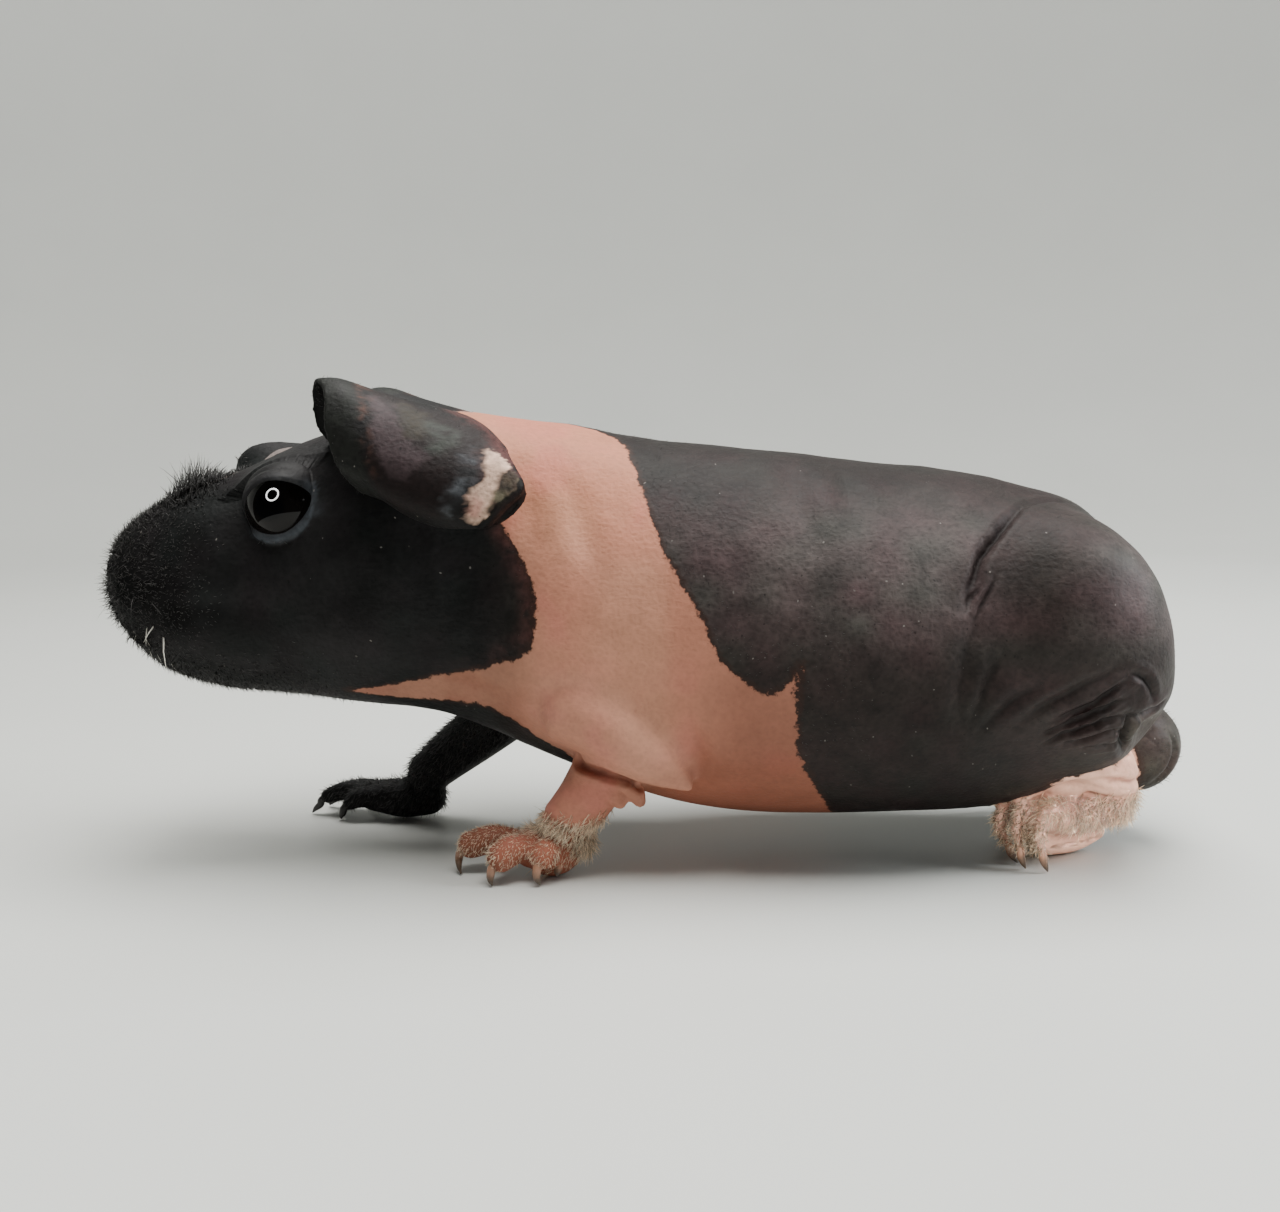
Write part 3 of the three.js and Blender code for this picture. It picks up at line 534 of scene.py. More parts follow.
def limb_loft(stations, around=40, per_station=14, cap=7):
    """A tube along the stations with a rounded cap at each end.

    A ring stands square to the path; its first axis is Y made square to the
    path, and the two radii are taken along that axis and square to it. A cap's
    rings run on past the end by sin a and shrink by cos a.
    """
    last = len(stations) - 1
    u = np.linspace(0, last, last * per_station + 1)
    row = spline(stations, u)
    ahead, behind = spline(stations, u + 0.05), spline(stations, u - 0.05)
    tangent = unit(ahead[:, :3] - behind[:, :3])
    side = unit(np.array([0, 1, 0]) - tangent * tangent[:, 1:2])
    rise = np.cross(side, tangent)
    lift = np.linspace(0, np.pi / 2, cap + 1)[1:-1]
    pick = np.concatenate([np.zeros(len(lift), int), np.arange(len(u)), np.full(len(lift), len(u) - 1)])
    least = np.minimum(row[:, 3], row[:, 4])
    run = np.concatenate([-np.sin(lift[::-1]), np.zeros(len(u)), np.sin(lift)]) * least[pick]
    shrink = np.concatenate([np.cos(lift[::-1]), np.ones(len(u)), np.cos(lift)])
    angle = turns(around)[None, :, None]
    centre = row[pick, :3] + tangent[pick] * run[:, None]
    across = side[pick] * (row[pick, 3] * shrink)[:, None]
    up = rise[pick] * (row[pick, 4] * shrink)[:, None]
    rings = centre[:, None] + across[:, None] * np.cos(angle) + up[:, None] * np.sin(angle)
    return closed_loft(
        rings, row[0, :3] - tangent[0] * least[0], row[-1, :3] + tangent[-1] * least[-1])


def ear_sheet(side, rows=150, columns=110):
    """Middle sheet of an ear and its normals, by splines along and across the rows."""
    placed = EAR_ROWS * (1, -side, 1)
    if side > 0:
        placed = placed + (RIGHT_EAR_BACK, 0, -RIGHT_EAR_DROP)
    count, points = placed.shape[:2]
    along = spline(placed.reshape(count, -1), np.linspace(0, count - 1, rows))
    along = along.reshape(rows, points, 3).transpose(1, 0, 2).reshape(points, -1)
    sheet = spline(along, np.linspace(0, points - 1, columns)).reshape(columns, rows, 3)
    sheet = sheet.transpose(1, 0, 2)
    normal = unit(np.cross(np.gradient(sheet, axis=0), np.gradient(sheet, axis=1)))
    return sheet, normal


def ear_loft(side, thickness, rim):
    """The sheet given a thickness, thinner at its rims, with its edges closed."""
    sheet, normal = ear_sheet(side)
    rows, columns = sheet.shape[:2]
    u = np.linspace(0, 1, rows)[:, None]
    v = np.linspace(0, 1, columns)[None, :]
    edge = np.minimum(np.minimum(u, 1 - u), 1 - v)
    wall = (rim + (thickness - rim) * ramp(edge, 0.0, 0.16))[..., None] / 2
    rings = np.concatenate([sheet + normal * wall, (sheet - normal * wall)[:, ::-1]], axis=1)
    around = 2 * columns
    near = np.arange(columns - 1)
    opposite = around - 1 - near
    last = (rows - 1) * around
    faces = np.concatenate([
        strips(rows, around),
        np.stack([near, opposite - 1, near + 1], 1), np.stack([near, opposite, opposite - 1], 1),
        last + np.stack([near, near + 1, opposite - 1], 1),
        last + np.stack([near, opposite - 1, opposite], 1),
    ])
    return outward(rings.reshape(-1, 3), faces)


# ---- from arrays to meshes and back ------------------------------------


def new_object(name, points, faces, scale=MM, shift=SHIFT):
    """An object at the origin with these points, given in millimetres, and faces."""
    mesh = bpy.data.meshes.new(name)
    placed = (np.asarray(points, float) + (shift, 0, 0)) * scale
    faces = np.asarray(faces, np.int32)
    mesh.vertices.add(len(placed))
    mesh.vertices.foreach_set("co", placed.astype(np.float32).ravel())
    mesh.loops.add(faces.size)
    mesh.loops.foreach_set("vertex_index", faces.ravel())
    mesh.polygons.add(len(faces))
    corners = faces.shape[1]
    mesh.polygons.foreach_set("loop_start", np.arange(len(faces), dtype=np.int32) * corners)
    mesh.polygons.foreach_set("use_smooth", np.ones(len(faces), bool))
    mesh.update(calc_edges=True)
    mesh.validate()
    obj = bpy.data.objects.new(name, mesh)
    bpy.context.scene.collection.objects.link(obj)
    return obj


def read_mesh(mesh):
    """Points of a mesh, and its triangles."""
    points = np.zeros(len(mesh.vertices) * 3, np.float32)
    mesh.vertices.foreach_get("co", points)
    mesh.calc_loop_triangles()
    triangles = np.zeros(len(mesh.loop_triangles) * 3, np.int32)
    mesh.loop_triangles.foreach_get("vertices", triangles)
    return points.reshape(-1, 3).astype(float), triangles.reshape(-1, 3).astype(int)


def working_copy(points, triangles):
    """An object for one step of the work, in millimetres and where the points are."""
    return new_object("working copy", points, triangles, 1.0, 0.0)


def used_up(obj, mesh):
    """Points and triangles of the mesh that a working copy led to; the copy is removed."""
    result = read_mesh(mesh)
    own = obj.data
    bpy.data.objects.remove(obj)
    bpy.data.meshes.remove(own)
    return result


def finished_by(points, triangles, kind, **settings):
    """The points and triangles that a modifier makes of these."""
    obj = working_copy(points, triangles)
    modifier = obj.modifiers.new(kind.title(), kind)
    for key, value in settings.items():
        setattr(modifier, key, value)
    return used_up(obj, obj.evaluated_get(bpy.context.evaluated_depsgraph_get()).data)


def finer_near(points, triangles, places, reach):
    """Splits the edges that lie within reach of any of the places."""
    near = np.zeros(len(points), bool)
    for place, radius in zip(places, reach):
        near |= np.linalg.norm(points - place, axis=1) < radius
    obj = working_copy(points, triangles)
    work = bmesh.new()
    work.from_mesh(obj.data)
    work.verts.ensure_lookup_table()
    chosen = [edge for edge in work.edges if near[edge.verts[0].index] and near[edge.verts[1].index]]
    bmesh.ops.subdivide_edges(work, edges=chosen, cuts=1)
    bmesh.ops.triangulate(work, faces=[face for face in work.faces if len(face.verts) > 3])
    work.to_mesh(obj.data)
    work.free()
    return used_up(obj, obj.data)


# ---- the skin's shape --------------------------------------------------


def within(points, low, high):
    """The numbers of the points that lie between two corners of a box."""
    return np.flatnonzero(np.all((points > low) & (points < high), axis=1))


def limb_closeness(points, stations, reach=2.5, places=14, far=9.0):
    """Distance from a limb's middle line, in shares of its radius there, or far beyond reach."""
    row = spline(stations, np.linspace(0, len(stations) - 1, places))
    radius = (row[:, 3] + row[:, 4]) / 2
    spread = radius[:, None] * reach
    near = within(points, (row[:, :3] - spread).min(0), (row[:, :3] + spread).max(0))
    share = np.full(len(points), far)
    gap = np.linalg.norm(points[near][:, None] - row[:, :3], axis=2) / radius
    share[near] = gap.min(axis=1)
    return share


def least_closeness(points, lines):
    """The least closeness to any of the lines."""
    return np.min([limb_closeness(points, line) for line in lines], axis=0)


def foot_closeness(points, name):
    """The least closeness to a foot's sole and toes."""
    return least_closeness(points, [LEGS[name]["sole"], *LEGS[name]["toes"]])


def leg_closeness(points, name):
    """The least closeness to a leg and its foot."""
    return np.minimum(least_closeness(points, LEGS[name]["limbs"]), foot_closeness(points, name))


def feet_closeness(points):
    """The least closeness to any of the feet."""
    return np.min([foot_closeness(points, name) for name in LEGS], axis=0)


def eye_frame(side):
    """Centre of an eyeball, and its outward, rearward and upward directions."""
    centre = np.array(EYE_CENTRE) * (1, side, 1)
    outward_way = unit(np.array(EYE_OUTWARD) * (1, side, 1))
    rearward = unit(np.array([1.0, 0, 0]) - outward_way * outward_way[0])
    upward = unit(np.array([0, 0, 1.0]) - outward_way * outward_way[2] - rearward * rearward[2])
    turn = radians(EYE_TILT)
    return (
        centre, outward_way,
        rearward * np.cos(turn) + upward * np.sin(turn),
        upward * np.cos(turn) - rearward * np.sin(turn),
    )


def opening_level(ray, rearward, upward, shape):
    """1 on the edge of the eye's opening, less inside it: (|a/A|^p + |b/B|^p)^(1/p)."""
    a = np.abs(ray @ rearward) * EYE_RADIUS / (shape.eye_opening_length / MM / 2)
    b = np.abs(ray @ upward * EYE_RADIUS + OPENING_DROP) / (shape.eye_opening_height / MM / 2)
    return (a**OPENING_POWER + b**OPENING_POWER) ** (1 / OPENING_POWER)


def with_eyelids(points, shape):
    """Opens the skin over each eyeball and wraps lids round the opening.

    Near an eye a point keeps its direction from the eyeball's centre, and its
    distance becomes the ball's radius plus a profile of the opening level:
    sunk behind the ball inside 1, a round margin at 1, a lid outside it that
    follows the ball, and a crease where the lid ends.
    """
    thick = shape.lid_thickness / MM
    for side in SIDES.values():
        centre, outward_way, rearward, upward = eye_frame(side)
        offset = points - centre
        distance = np.linalg.norm(offset, axis=1)
        near = np.flatnonzero((distance < LID_FADE[1] + 0.5) & (offset @ outward_way > -1.5))
        ray = unit(offset[near])
        reach = distance[near]
        level = opening_level(ray, rearward, upward, shape)
        lower = ramp(-(ray @ upward), -0.1, 0.5)
        margin = -1.3 + 1.4 * ramp(level, 0.9, 0.99)
        margin += (thick * (0.62 + 0.75 * lower) - 0.1) * ramp(level, 0.985, 1.1)
        lid = EYE_RADIUS + margin - 0.3 * ramp(level, 1.2, 1.7)
        skin = -smooth_least(-reach, -lid, 2.2)
        outside = ramp(level, 1.08, 1.75 - 0.25 * lower)
        new = lid * (1 - outside) + skin * outside
        groove = bell(level, 1.4, 0.07) * 0.3
        groove += bell(level, 1.72, 0.1) * 0.22 * ramp(ray @ upward, -0.5, 0.6)
        groove += bell(level, 1.62, 0.06) * 0.22 * ramp(-(ray @ upward), 0.0, 0.5)
        new = new - groove * ramp(ray @ outward_way, 0.0, 0.35)
        fade = 1 - ramp(reach, *LID_FADE)
        points[near] = centre + ray * (reach + (new - reach) * fade)[:, None]
    return points


def settled(points, path, reach=9):
    """The nearest skin point to each place of a path."""
    near = points[within(points, path.min(0) - reach, path.max(0) + reach)]
    gap = np.linalg.norm(path[:, None] - near, axis=2)
    return near[np.argmin(gap, axis=1)]


def pressed(points, normals, line, width, depth, roll):
    """How far a fold moves each point along its normal.

    Across the line it is -depth * e^-(s/w)^2, with rolls of skin beside it at
    2.1 widths, and it fades in and out along the line as sin(pi * share)^0.7.
    """
    path = spline(line, np.linspace(0, len(line) - 1, 8 * len(line)))
    path = settled(points, path)
    path = spline(path, np.linspace(0, len(path) - 1, len(path) // 3))
    reach = 5 * width
    near = within(points, path.min(0) - reach, path.max(0) + reach)
    gap, share = path_distance(points[near], path)
    fade = np.sin(np.pi * np.clip(share, 0.02, 0.98)) ** 0.7
    move = np.zeros(len(points))
    rolls = roll * bell(gap, 2.1 * width, 1.2 * width)
    move[near] = fade * (rolls - depth * bell(gap, 0, width))
    return move


def all_folds():
    """Width, depth, roll and line of each fold of both sides and of the muzzle."""
    for width, depth, roll, line in FOLDS.values():
        yield width, depth, roll, np.array(line, float)
        yield width, depth, roll, np.array(line) * (1, -1, 1) + RIGHT_FOLD_SHIFT
    for width, depth, roll, line in LEFT_FOLDS.values():
        yield width, depth, roll, np.array(line, float)
    for width, depth, roll, line in MUZZLE_FOLDS.values():
        on_middle = line[0][1] == 0 and line[-1][1] == 0
        for side in MIDDLE if on_middle else BOTH:
            yield width, depth, roll, np.array(line, float) * (1, side, 1)


def with_folds(points, triangles, strength):
    """Presses all the folds into the skin."""
    normals = point_normals(points, triangles)
    move = np.zeros(len(points))
    for width, depth, roll, line in all_folds():
        move += pressed(points, normals, line, width, depth, roll)
    return points + normals * (move * strength)[:, None]


def with_nostrils(points, triangles):
    """Sinks a slanting pit into the muzzle on each side: depth * e^-(a^2 + b^2)."""
    normals = point_normals(points, triangles)
    for side in SIDES.values():
        offset = points - np.array(NOSTRIL) * (1, side, 1)
        slant = (offset[:, 2] + side * offset[:, 1] * 0.8) / 1.28
        wide = (side * offset[:, 1] - offset[:, 2] * 0.8) / 1.28
        level = (slant / 1.5) ** 2 + (wide / 0.75) ** 2 + (offset[:, 0] / 4.0) ** 2
        points = points - normals * (1.5 * np.exp(-level))[:, None]
    return points


def height_share(points):
    """Height over the body's widest line: 1 at its top, -1 at its bottom, and on between."""
    x, z = points[:, 0], points[:, 2]
    top, bottom, wide = (np.interp(x, BODY_ROWS[:, 0], BODY_ROWS[:, k]) for k in (1, 2, 4))
    return (z - wide) / np.maximum(np.where(z > wide, top - wide, wide - bottom), 1.0)


# Length of the coat on each foot, and the height up to which it grows.
COATED_LEGS = {
    "right_fore": (1.0, 30.0),
    "left_fore": (0.7, 14.0),
    "left_hind": (0.7, 15.5),
    "right_hind": (0.9, 16.0),
}


def coat_depth(points):
    """How long the coat is at each place, in millimetres: the bridge, front and underside of
    the muzzle, the feet, and nothing on the bare skin."""
    x, share = points[:, 0], height_share(points)
    face = 1.0 * np.maximum(ramp(-x, 88, 104), ramp(-x, 76, 92) * ramp(share, 0.6, 0.95))
    depth = np.maximum(face, 0.8 * ramp(-x, 62, 86) * ramp(-share, 0.3, 0.85))
    for name, (most, height) in COATED_LEGS.items():
        near = foot_closeness(points, name)
        if name == "right_fore":
            near = np.minimum(near, limb_closeness(points, RIGHT_FORELEG))
        depth = np.maximum(depth, most * (near < 1.5) * ramp(-points[:, 2], -height, 4 - height))
    return depth


def loosened(points, triangles):
    """Draws the skin in by the coat's depth, and gives loose skin its slow ups and downs."""
    normals = point_normals(points, triangles)
    body = ramp(points[:, 0], -78, -50) * ramp(points[:, 2], 14, 24) * (1 - ramp(points[:, 2], 92, 97))
    waves = 0.34 * value_noise(points, 12.0, 3) + 0.16 * value_noise(points, 5.0, 4)
    return points + normals * (body * waves - 0.8 * coat_depth(points))[:, None]


LIPS, LIP_REACH = np.array((-110.0, 0, 57.0)), 9.5  # where the skin is made finer, and how far out
EYE_REACH = 12.0


def skin_shape(shape):
    """Points and triangles of the whole skin, in millimetres."""
    points, triangles = body_loft()
    body = (swollen(points, point_normals(points, triangles)), triangles)
    parts = [body]
    for leg in LEGS.values():
        parts += [limb_loft(line) for line in [*leg["limbs"], leg["sole"]]]
        parts += [limb_loft(toe, around=28, per_station=10) for toe in leg["toes"]]
    parts += [ear_loft(side, shape.ear_thickness / MM, shape.ear_rim / MM) for side in (-1, 1)]
    voxel = shape.voxel / MM * 1.0
    points, triangles = finished_by(
        *joined(parts), "REMESH", mode="VOXEL", voxel_size=voxel, use_smooth_shade=True)
    points = softened(points, triangles, voxel)
    sockets = [eye_frame(side)[0] for side in SIDES.values()]
    reach = [EYE_REACH, EYE_REACH, LIP_REACH]
    points, triangles = finer_near(points, triangles, [*sockets, LIPS], reach)
    points = with_folds(points, triangles, shape.fold_strength)
    points = loosened(points, triangles)
    points = with_nostrils(points, triangles)
    points = with_eyelids(points, shape)
    points[:, 2] = np.maximum(points[:, 2], 0.02)
    budget = shape.skin_triangles
    if len(triangles) > budget:
        points, triangles = finished_by(
            points, triangles, "DECIMATE", decimate_type="COLLAPSE", ratio=budget / len(triangles))
    return points, triangles


def softened(points, triangles, voxel):
    """Rounds the joins of the lofts, widely where the limbs leave the body and little on the toes."""
    edges = mesh_edges(triangles)
    rolls = least_closeness(points, [LEFT_ROLL_1, LEFT_ROLL_2])
    feet = np.minimum(feet_closeness(points), 0.8 * rolls)
    ears = ramp(points[:, 2], 68, 76) * ramp(points[:, 0], -69, -66) * ramp(-points[:, 0], 18, 21)
    ears *= ramp(np.abs(points[:, 1]), 21, 25)
    wide = ramp(feet, 1.2, 1.9) * (1 - 0.97 * ears)
    rounds = int(round(9 / voxel))
    return relaxed(points, edges, 0.07 + 0.48 * wide, rounds)


# ---- markings ----------------------------------------------------------

# Patches on the outside of the ear, in rows from front to rear and places from crown to
# hanging rim; the cream one runs down to the hanging rim.
EAR_PATCHES = {
    "ear_wine": [
        (1.9, 3.0), (4.3, 3.0), (4.25, 4.0), (3.7, 4.4), (3.6, 5.2), (3.2, 6.2), (2.0, 6.4), (1.5, 5.6)],
    "ear_lilac": [
        (1.75, 3.5), (2.4, 3.4), (2.5, 4.1), (2.8, 4.45), (3.05, 4.6), (2.85, 4.95), (2.6, 5.45),
        (2.3, 5.4), (2.0, 5.0), (1.75, 4.5)],
    "ear_brown": [(2.45, 3.3), (3.0, 3.3), (3.0, 4.1), (2.85, 4.4), (2.5, 4.15)],
    "ear_green": [(3.05, 3.5), (3.6, 3.7), (3.6, 4.1), (3.35, 4.45), (3.05, 4.5), (2.95, 4.1)],
    "ear_ash": [
        (3.65, 4.4), (3.95, 4.1), (4.2, 4.35), (4.05, 4.9), (3.88, 5.3), (3.7, 5.5), (3.65, 6.0),
        (3.35, 6.2), (3.3, 5.6), (3.6, 5.0)],
    "ear_olive": [
        (4.5, 4.65), (4.72, 4.35), (4.95, 4.3), (5.05, 4.8), (4.92, 5.3), (4.75, 5.9), (4.62, 6.5),
        (4.48, 6.4), (4.42, 5.9), (4.38, 5.4), (4.42, 5.0)],
    "ear_cream": [
        (4.26, 3.85), (4.6, 3.8), (4.92, 4.1), (4.72, 4.35), (4.5, 4.65), (4.4, 5.1), (4.38, 5.6),
        (4.42, 5.9), (4.5, 6.4), (4.25, 6.7), (3.95, 6.7), (3.76, 6.3), (3.9, 5.95), (3.78, 5.5),
        (3.9, 5.2), (4.1, 5.0), (4.13, 4.6), (4.18, 4.2)],
    "ear_rose": [(3.8, 6.2), (3.95, 5.9), (3.85, 5.5), (4.0, 5.4), (4.15, 5.8), (4.2, 6.3), (4.0, 6.5)],
}
# How softly each patch ends, in millimetres, where that isn't the usual 0.9.
EAR_SOFT = {"ear_cream": 0.35, "ear_olive": 0.5, "ear_rose": 1.0, "ear_wine": 2.2}
EAR_SPECKLED = ("ear_ash", "ear_olive", "ear_green")
EAR_STEP = (8.0, 6.2)  # millimetres from one row to the next, and from one place to the next
EAR_SHADED_RECESS = (4.98, 4.6)  # past this row and this place the recess under the ear's curl is painted near black, a painted shadow

# Edge of the pink skin, as places along the body and degrees round it: 0 on
# the back, -90 on the left side and 180 on the belly.
PINK_EDGE = [
    (-38, 0), (-37, -20), (-31, -42), (-26.5, -56), (-23, -66), (-20.6, -79), (-21, -96), (-24, -106),
    (-28, -113), (-34, -123), (-41, -130), (-51, -138), (-61, -146), (-56, -147), (-48, -148),
    (-39, -143), (-31, -139), (-24, -140), (-17, -144), (-12, -156), (-9, -176), (-5, -198), (4, -214),
    (18, -222), (30, -222), (38, -212), (41, -196), (41, -180), (40, -160), (38, -142), (35, -128),
    (31.5, -116), (30, -106), (30, -96), (30.9, -84), (29, -90), (25.5, -94), (22, -93), (19, -90),
    (15.5, -86), (12, -74), (8, -63), (5, -55), (2.4, -44), (0.5, -34), (-3, -15), (-8, -6), (-15, -1),
    (-24, 3), (-28, 9), (-27, 22), (-21, 42), (-14, 58), (-9, 72), (-7.6, 86), (-12, 99), (-11, 112),
    (-17, 123), (-24, 122), (-26, 109), (-31, 97), (-30.6, 83), (-35, 66), (-36, 40), (-38, 20),
]
MM_PER_DEGREE = 0.6  # at about the middle of the body
WELL_INSIDE = 3.0  # the depth given to skin that is all pink, and with a minus to all dark
BEHIND_BELLY = 70  # only the hind legs are behind this place


def around_body(points):
    """Degrees round the body from the back: negative on the left, 180 under the belly."""
    middle = np.interp(points[:, 0], BODY_ROWS[:, 0], BODY_ROWS[:, 4])
    return np.degrees(np.arctan2(points[:, 1], points[:, 2] - middle))


def inside_depth(places, outline):
    """How far each place is inside a closed outline; negative outside it."""
    start, end = outline, np.roll(outline, -1, axis=0)
    step = end - start
    least = np.full(len(places), np.inf)
    crossings = np.zeros(len(places), int)
    for (x0, y0), (dx, dy) in zip(start, step):
        x, y = places[:, 0] - x0, places[:, 1] - y0
        along = np.clip((x * dx + y * dy) / (dx * dx + dy * dy), 0, 1)
        least = np.minimum(least, np.hypot(x - along * dx, y - along * dy))
        between = (y < 0) != (y < dy)
        crossings += between & (x < (y * dx / dy if dy else 0))
    return np.where(crossings % 2 == 1, least, -least)


def pink_depth(points):
    """How far inside the pink skin each point lies, in millimetres."""
    outline = np.array(PINK_EDGE) * (1, MM_PER_DEGREE)
    count = len(outline)
    outline = spline(np.concatenate([outline, outline[:1]]), np.linspace(0, count, 4 * count + 1))[:-1]
    angle = around_body(points)
    depth = np.max([
        inside_depth(np.stack([points[:, 0], (angle + turn) * MM_PER_DEGREE], 1), outline)
        for turn in (-360, 0)
    ], axis=0)
    low = points[:, 2] < 30
    on_left_fore = (leg_closeness(points, "left_fore") < 1.35) & low
    depth = np.where(on_left_fore, np.maximum(depth, WELL_INSIDE), depth)
    on_right_fore = (leg_closeness(points, "right_fore") < 1.5) & low
    depth = np.where(on_right_fore, -WELL_INSIDE, depth)
    hem = 21.4 + 0.33 * (points[:, 0] - 93.5) - points[:, 2] + 0.3 * value_noise(points, 1.6, 5)
    hem = np.minimum(hem, (1.4 - leg_closeness(points, "left_hind")) * 6)
    hem = np.clip(hem, -WELL_INSIDE, WELL_INSIDE)
    return np.where(points[:, 0] > BEHIND_BELLY, np.maximum(depth, hem), depth)


def ear_places(points, rows=85, columns=57, at_once=3000):
    """Row and place on an ear's sheet nearest each point (-1 off the ears), and whether the
    point is on the side that faces into the ear. The sheet has so many rows and columns here."""
    row, place_on = np.full(len(points), -1.0), np.full(len(points), -1.0)
    inner = np.zeros(len(points), bool)
    for side in SIDES.values():
        sheet, normal = ear_sheet(side, rows, columns)
        flat, facing = sheet.reshape(-1, 3), normal.reshape(-1, 3)
        near = within(points, flat.min(0) - 1.5, flat.max(0) + 1.5)
        for part in np.array_split(near, len(near) // at_once + 1):
            best = np.argmin(np.sum(flat**2, 1) - 2 * points[part] @ flat.T, axis=1)
            offset = points[part] - flat[best]
            on = np.linalg.norm(offset, axis=1) < 1.7
            row[part[on]] = (best[on] // columns) / (rows - 1) * (len(EAR_ROWS) - 1)
            place_on[part[on]] = (best[on] % columns) / (columns - 1) * (EAR_ROWS.shape[1] - 1)
            inner[part[on]] = (np.sum(offset * facing[best], 1) * side)[on] < 0
    return row, place_on, inner


def lid_rim_and_highlight(points, shape):
    """1 on the rims of the eyelids, most of all on the lower ones, where the blue-grey also stands as a
    painted highlight, 0 elsewhere.
    """
    share = np.zeros(len(points))
    for side in SIDES.values():
        centre, outward_way, rearward, upward = eye_frame(side)
        offset = points - centre
        far = np.linalg.norm(offset, axis=1)
        near = (far < 10) & (offset @ outward_way > 1.0)
        ray = unit(offset[near])
        level = opening_level(ray, rearward, upward, shape)
        rim = bell(level, 1.08, 0.12) * (1 - ramp(far[near], 8.5, 9.1))
        share[near] = rim * (0.08 + 0.8 * ramp(-(ray @ upward) + 0.4 * (ray @ rearward), -0.15, 0.4))
    return share


HEAD_TO_BODY = (-34, -20)  # the black head turns into the dark body between these places
POUCH_CENTRE, POUCH_RADII = (106.4, 0, 22), (13, 14, 12)


def blend(base, share, colour_value):
    """The colours with a share of another one mixed in at each point."""
    return base * (1 - share[:, None]) + np.array(colour_value)[:3] * share[:, None]


def plain(points, colour_value):
    """One colour at every point."""
    return np.tile(np.array(colour_value)[:3], (len(points), 1))


def dark_tints(points, colours, cloud, mottle, speckle):
    """The dark skin: black head, paler saddle and rump, brown pouch darker towards its bottom, all of them
    uneven, with painted shade low on the body and on the top of the back.
    """
    x, _, z = points.T
    off_head = ramp(x, *HEAD_TO_BODY)
    dark = blend(plain(points, colours.head_skin), off_head, colours.body_skin)
    # The saddle's paler colour gives way towards the top of the back, leaving a painted shade there.
    saddle = ramp(x, -22, 0) * (1 - ramp(x, 58, 80)) * ramp(z, 40, 64) * (1 - 0.95 * ramp(z, 70, 82))
    dark = blend(dark, 0.95 * saddle, colours.saddle_skin)
    rump = ramp(x, 78, 92) * ramp(z, 44, 54) * (1 - 0.8 * ramp(z, 66, 74))
    dark = blend(dark, 0.75 * rump, colours.saddle_skin)
    from_pouch = np.linalg.norm((points - POUCH_CENTRE) / POUCH_RADII, axis=1)
    pouch = ramp(-from_pouch, -1.15, -0.95)
    pouch = np.maximum(pouch, ramp(x, 95.6, 97) * ramp(-z, -35.2, -34))
    dark = blend(dark, 0.9 * pouch, colours.pouch_skin)
    dark = dark * (1 - 0.6 * pouch * (1 - ramp(z + 0.3 * x, 44, 52)))[:, None]
    dark = dark * (1 + 0.24 * cloud + 0.24 * mottle + 0.16 * speckle)[:, None]
    dark = dark * (1 + value_noise(points, 6.0, 15)[:, None] * (0.16, -0.05, 0.02))
    bands = value_noise(points * (0.4, 1.0, 1.5), 8.0, 16)
    bands = bands + 0.5 * value_noise(points * (0.5, 1.0, 1.6), 4.0, 17)
    dark = dark * (1.1 + 0.6 * bands * (1 - off_head) * ramp(70 - z, 0, 12))[:, None]
    # Painted shade: darker low on the body from the chest to the hips, and on the top of the back against
    # the light from above.
    low = (1 - ramp(z, 16, 36)) * (1 - ramp(x, 70, 84))
    painted_shade = ramp(x, -30, -16) * (0.42 * low + 0.46 * ramp(z, 66, 84))
    return dark * (1 - painted_shade)[:, None]


def ear_tints(dark, ear, colours, mottle, speckle):
    """The worn patches on the outside of the ears, the painted shadow on their inner sides and in the
    recess under their curl, and their dark fronts.
    """
    row, place_on, on_ear, inner = ear
    outside = on_ear & ~inner
    where = np.stack([row, place_on], 1) * EAR_STEP
    ragged = 0.7 * mottle + 0.5 * speckle
    for name, outline in EAR_PATCHES.items():
        soft = EAR_SOFT.get(name, 0.9)
        depth = inside_depth(where, np.array(outline) * EAR_STEP)
        share = ramp(depth + ragged * (1.3 if soft > 0.5 else 0.7), -soft, soft) * outside
        if name in EAR_SPECKLED:
            share = share * (0.15 + 0.85 * ramp(speckle + 0.4 * mottle, -0.5, 0.4))
        dark = blend(dark, share * (0.75 if name == "ear_rose" else 1.0), getattr(colours, name))
    # Painted shadow: the ear's inner side and the recess under its curl are darkened to near black.
    shade_row, shade_place = EAR_SHADED_RECESS
    recess_shade = (row > shade_row - 0.27 * (place_on - shade_place)) & (place_on > shade_place - 0.1)
    dark = dark * np.where(on_ear & (recess_shade | inner), 0.12, 1.0)[:, None]
    front = ramp(1.5 + 0.18 * mottle - row, -0.05, 0.15) * outside * (place_on > 2.2)
    dark = blend(dark, front * (0.5 + 0.5 * ramp(speckle, -0.6, 0.6)), colours.ear_front)
    rust = bell(row, 1.62 + 0.12 * mottle, 0.12) * outside
    rust = rust * ramp(place_on, 2.4, 3.2) * (1 - ramp(place_on, 5.2, 5.8))
    return blend(dark, rust * ramp(speckle, -0.5, 0.3), colours.rust)


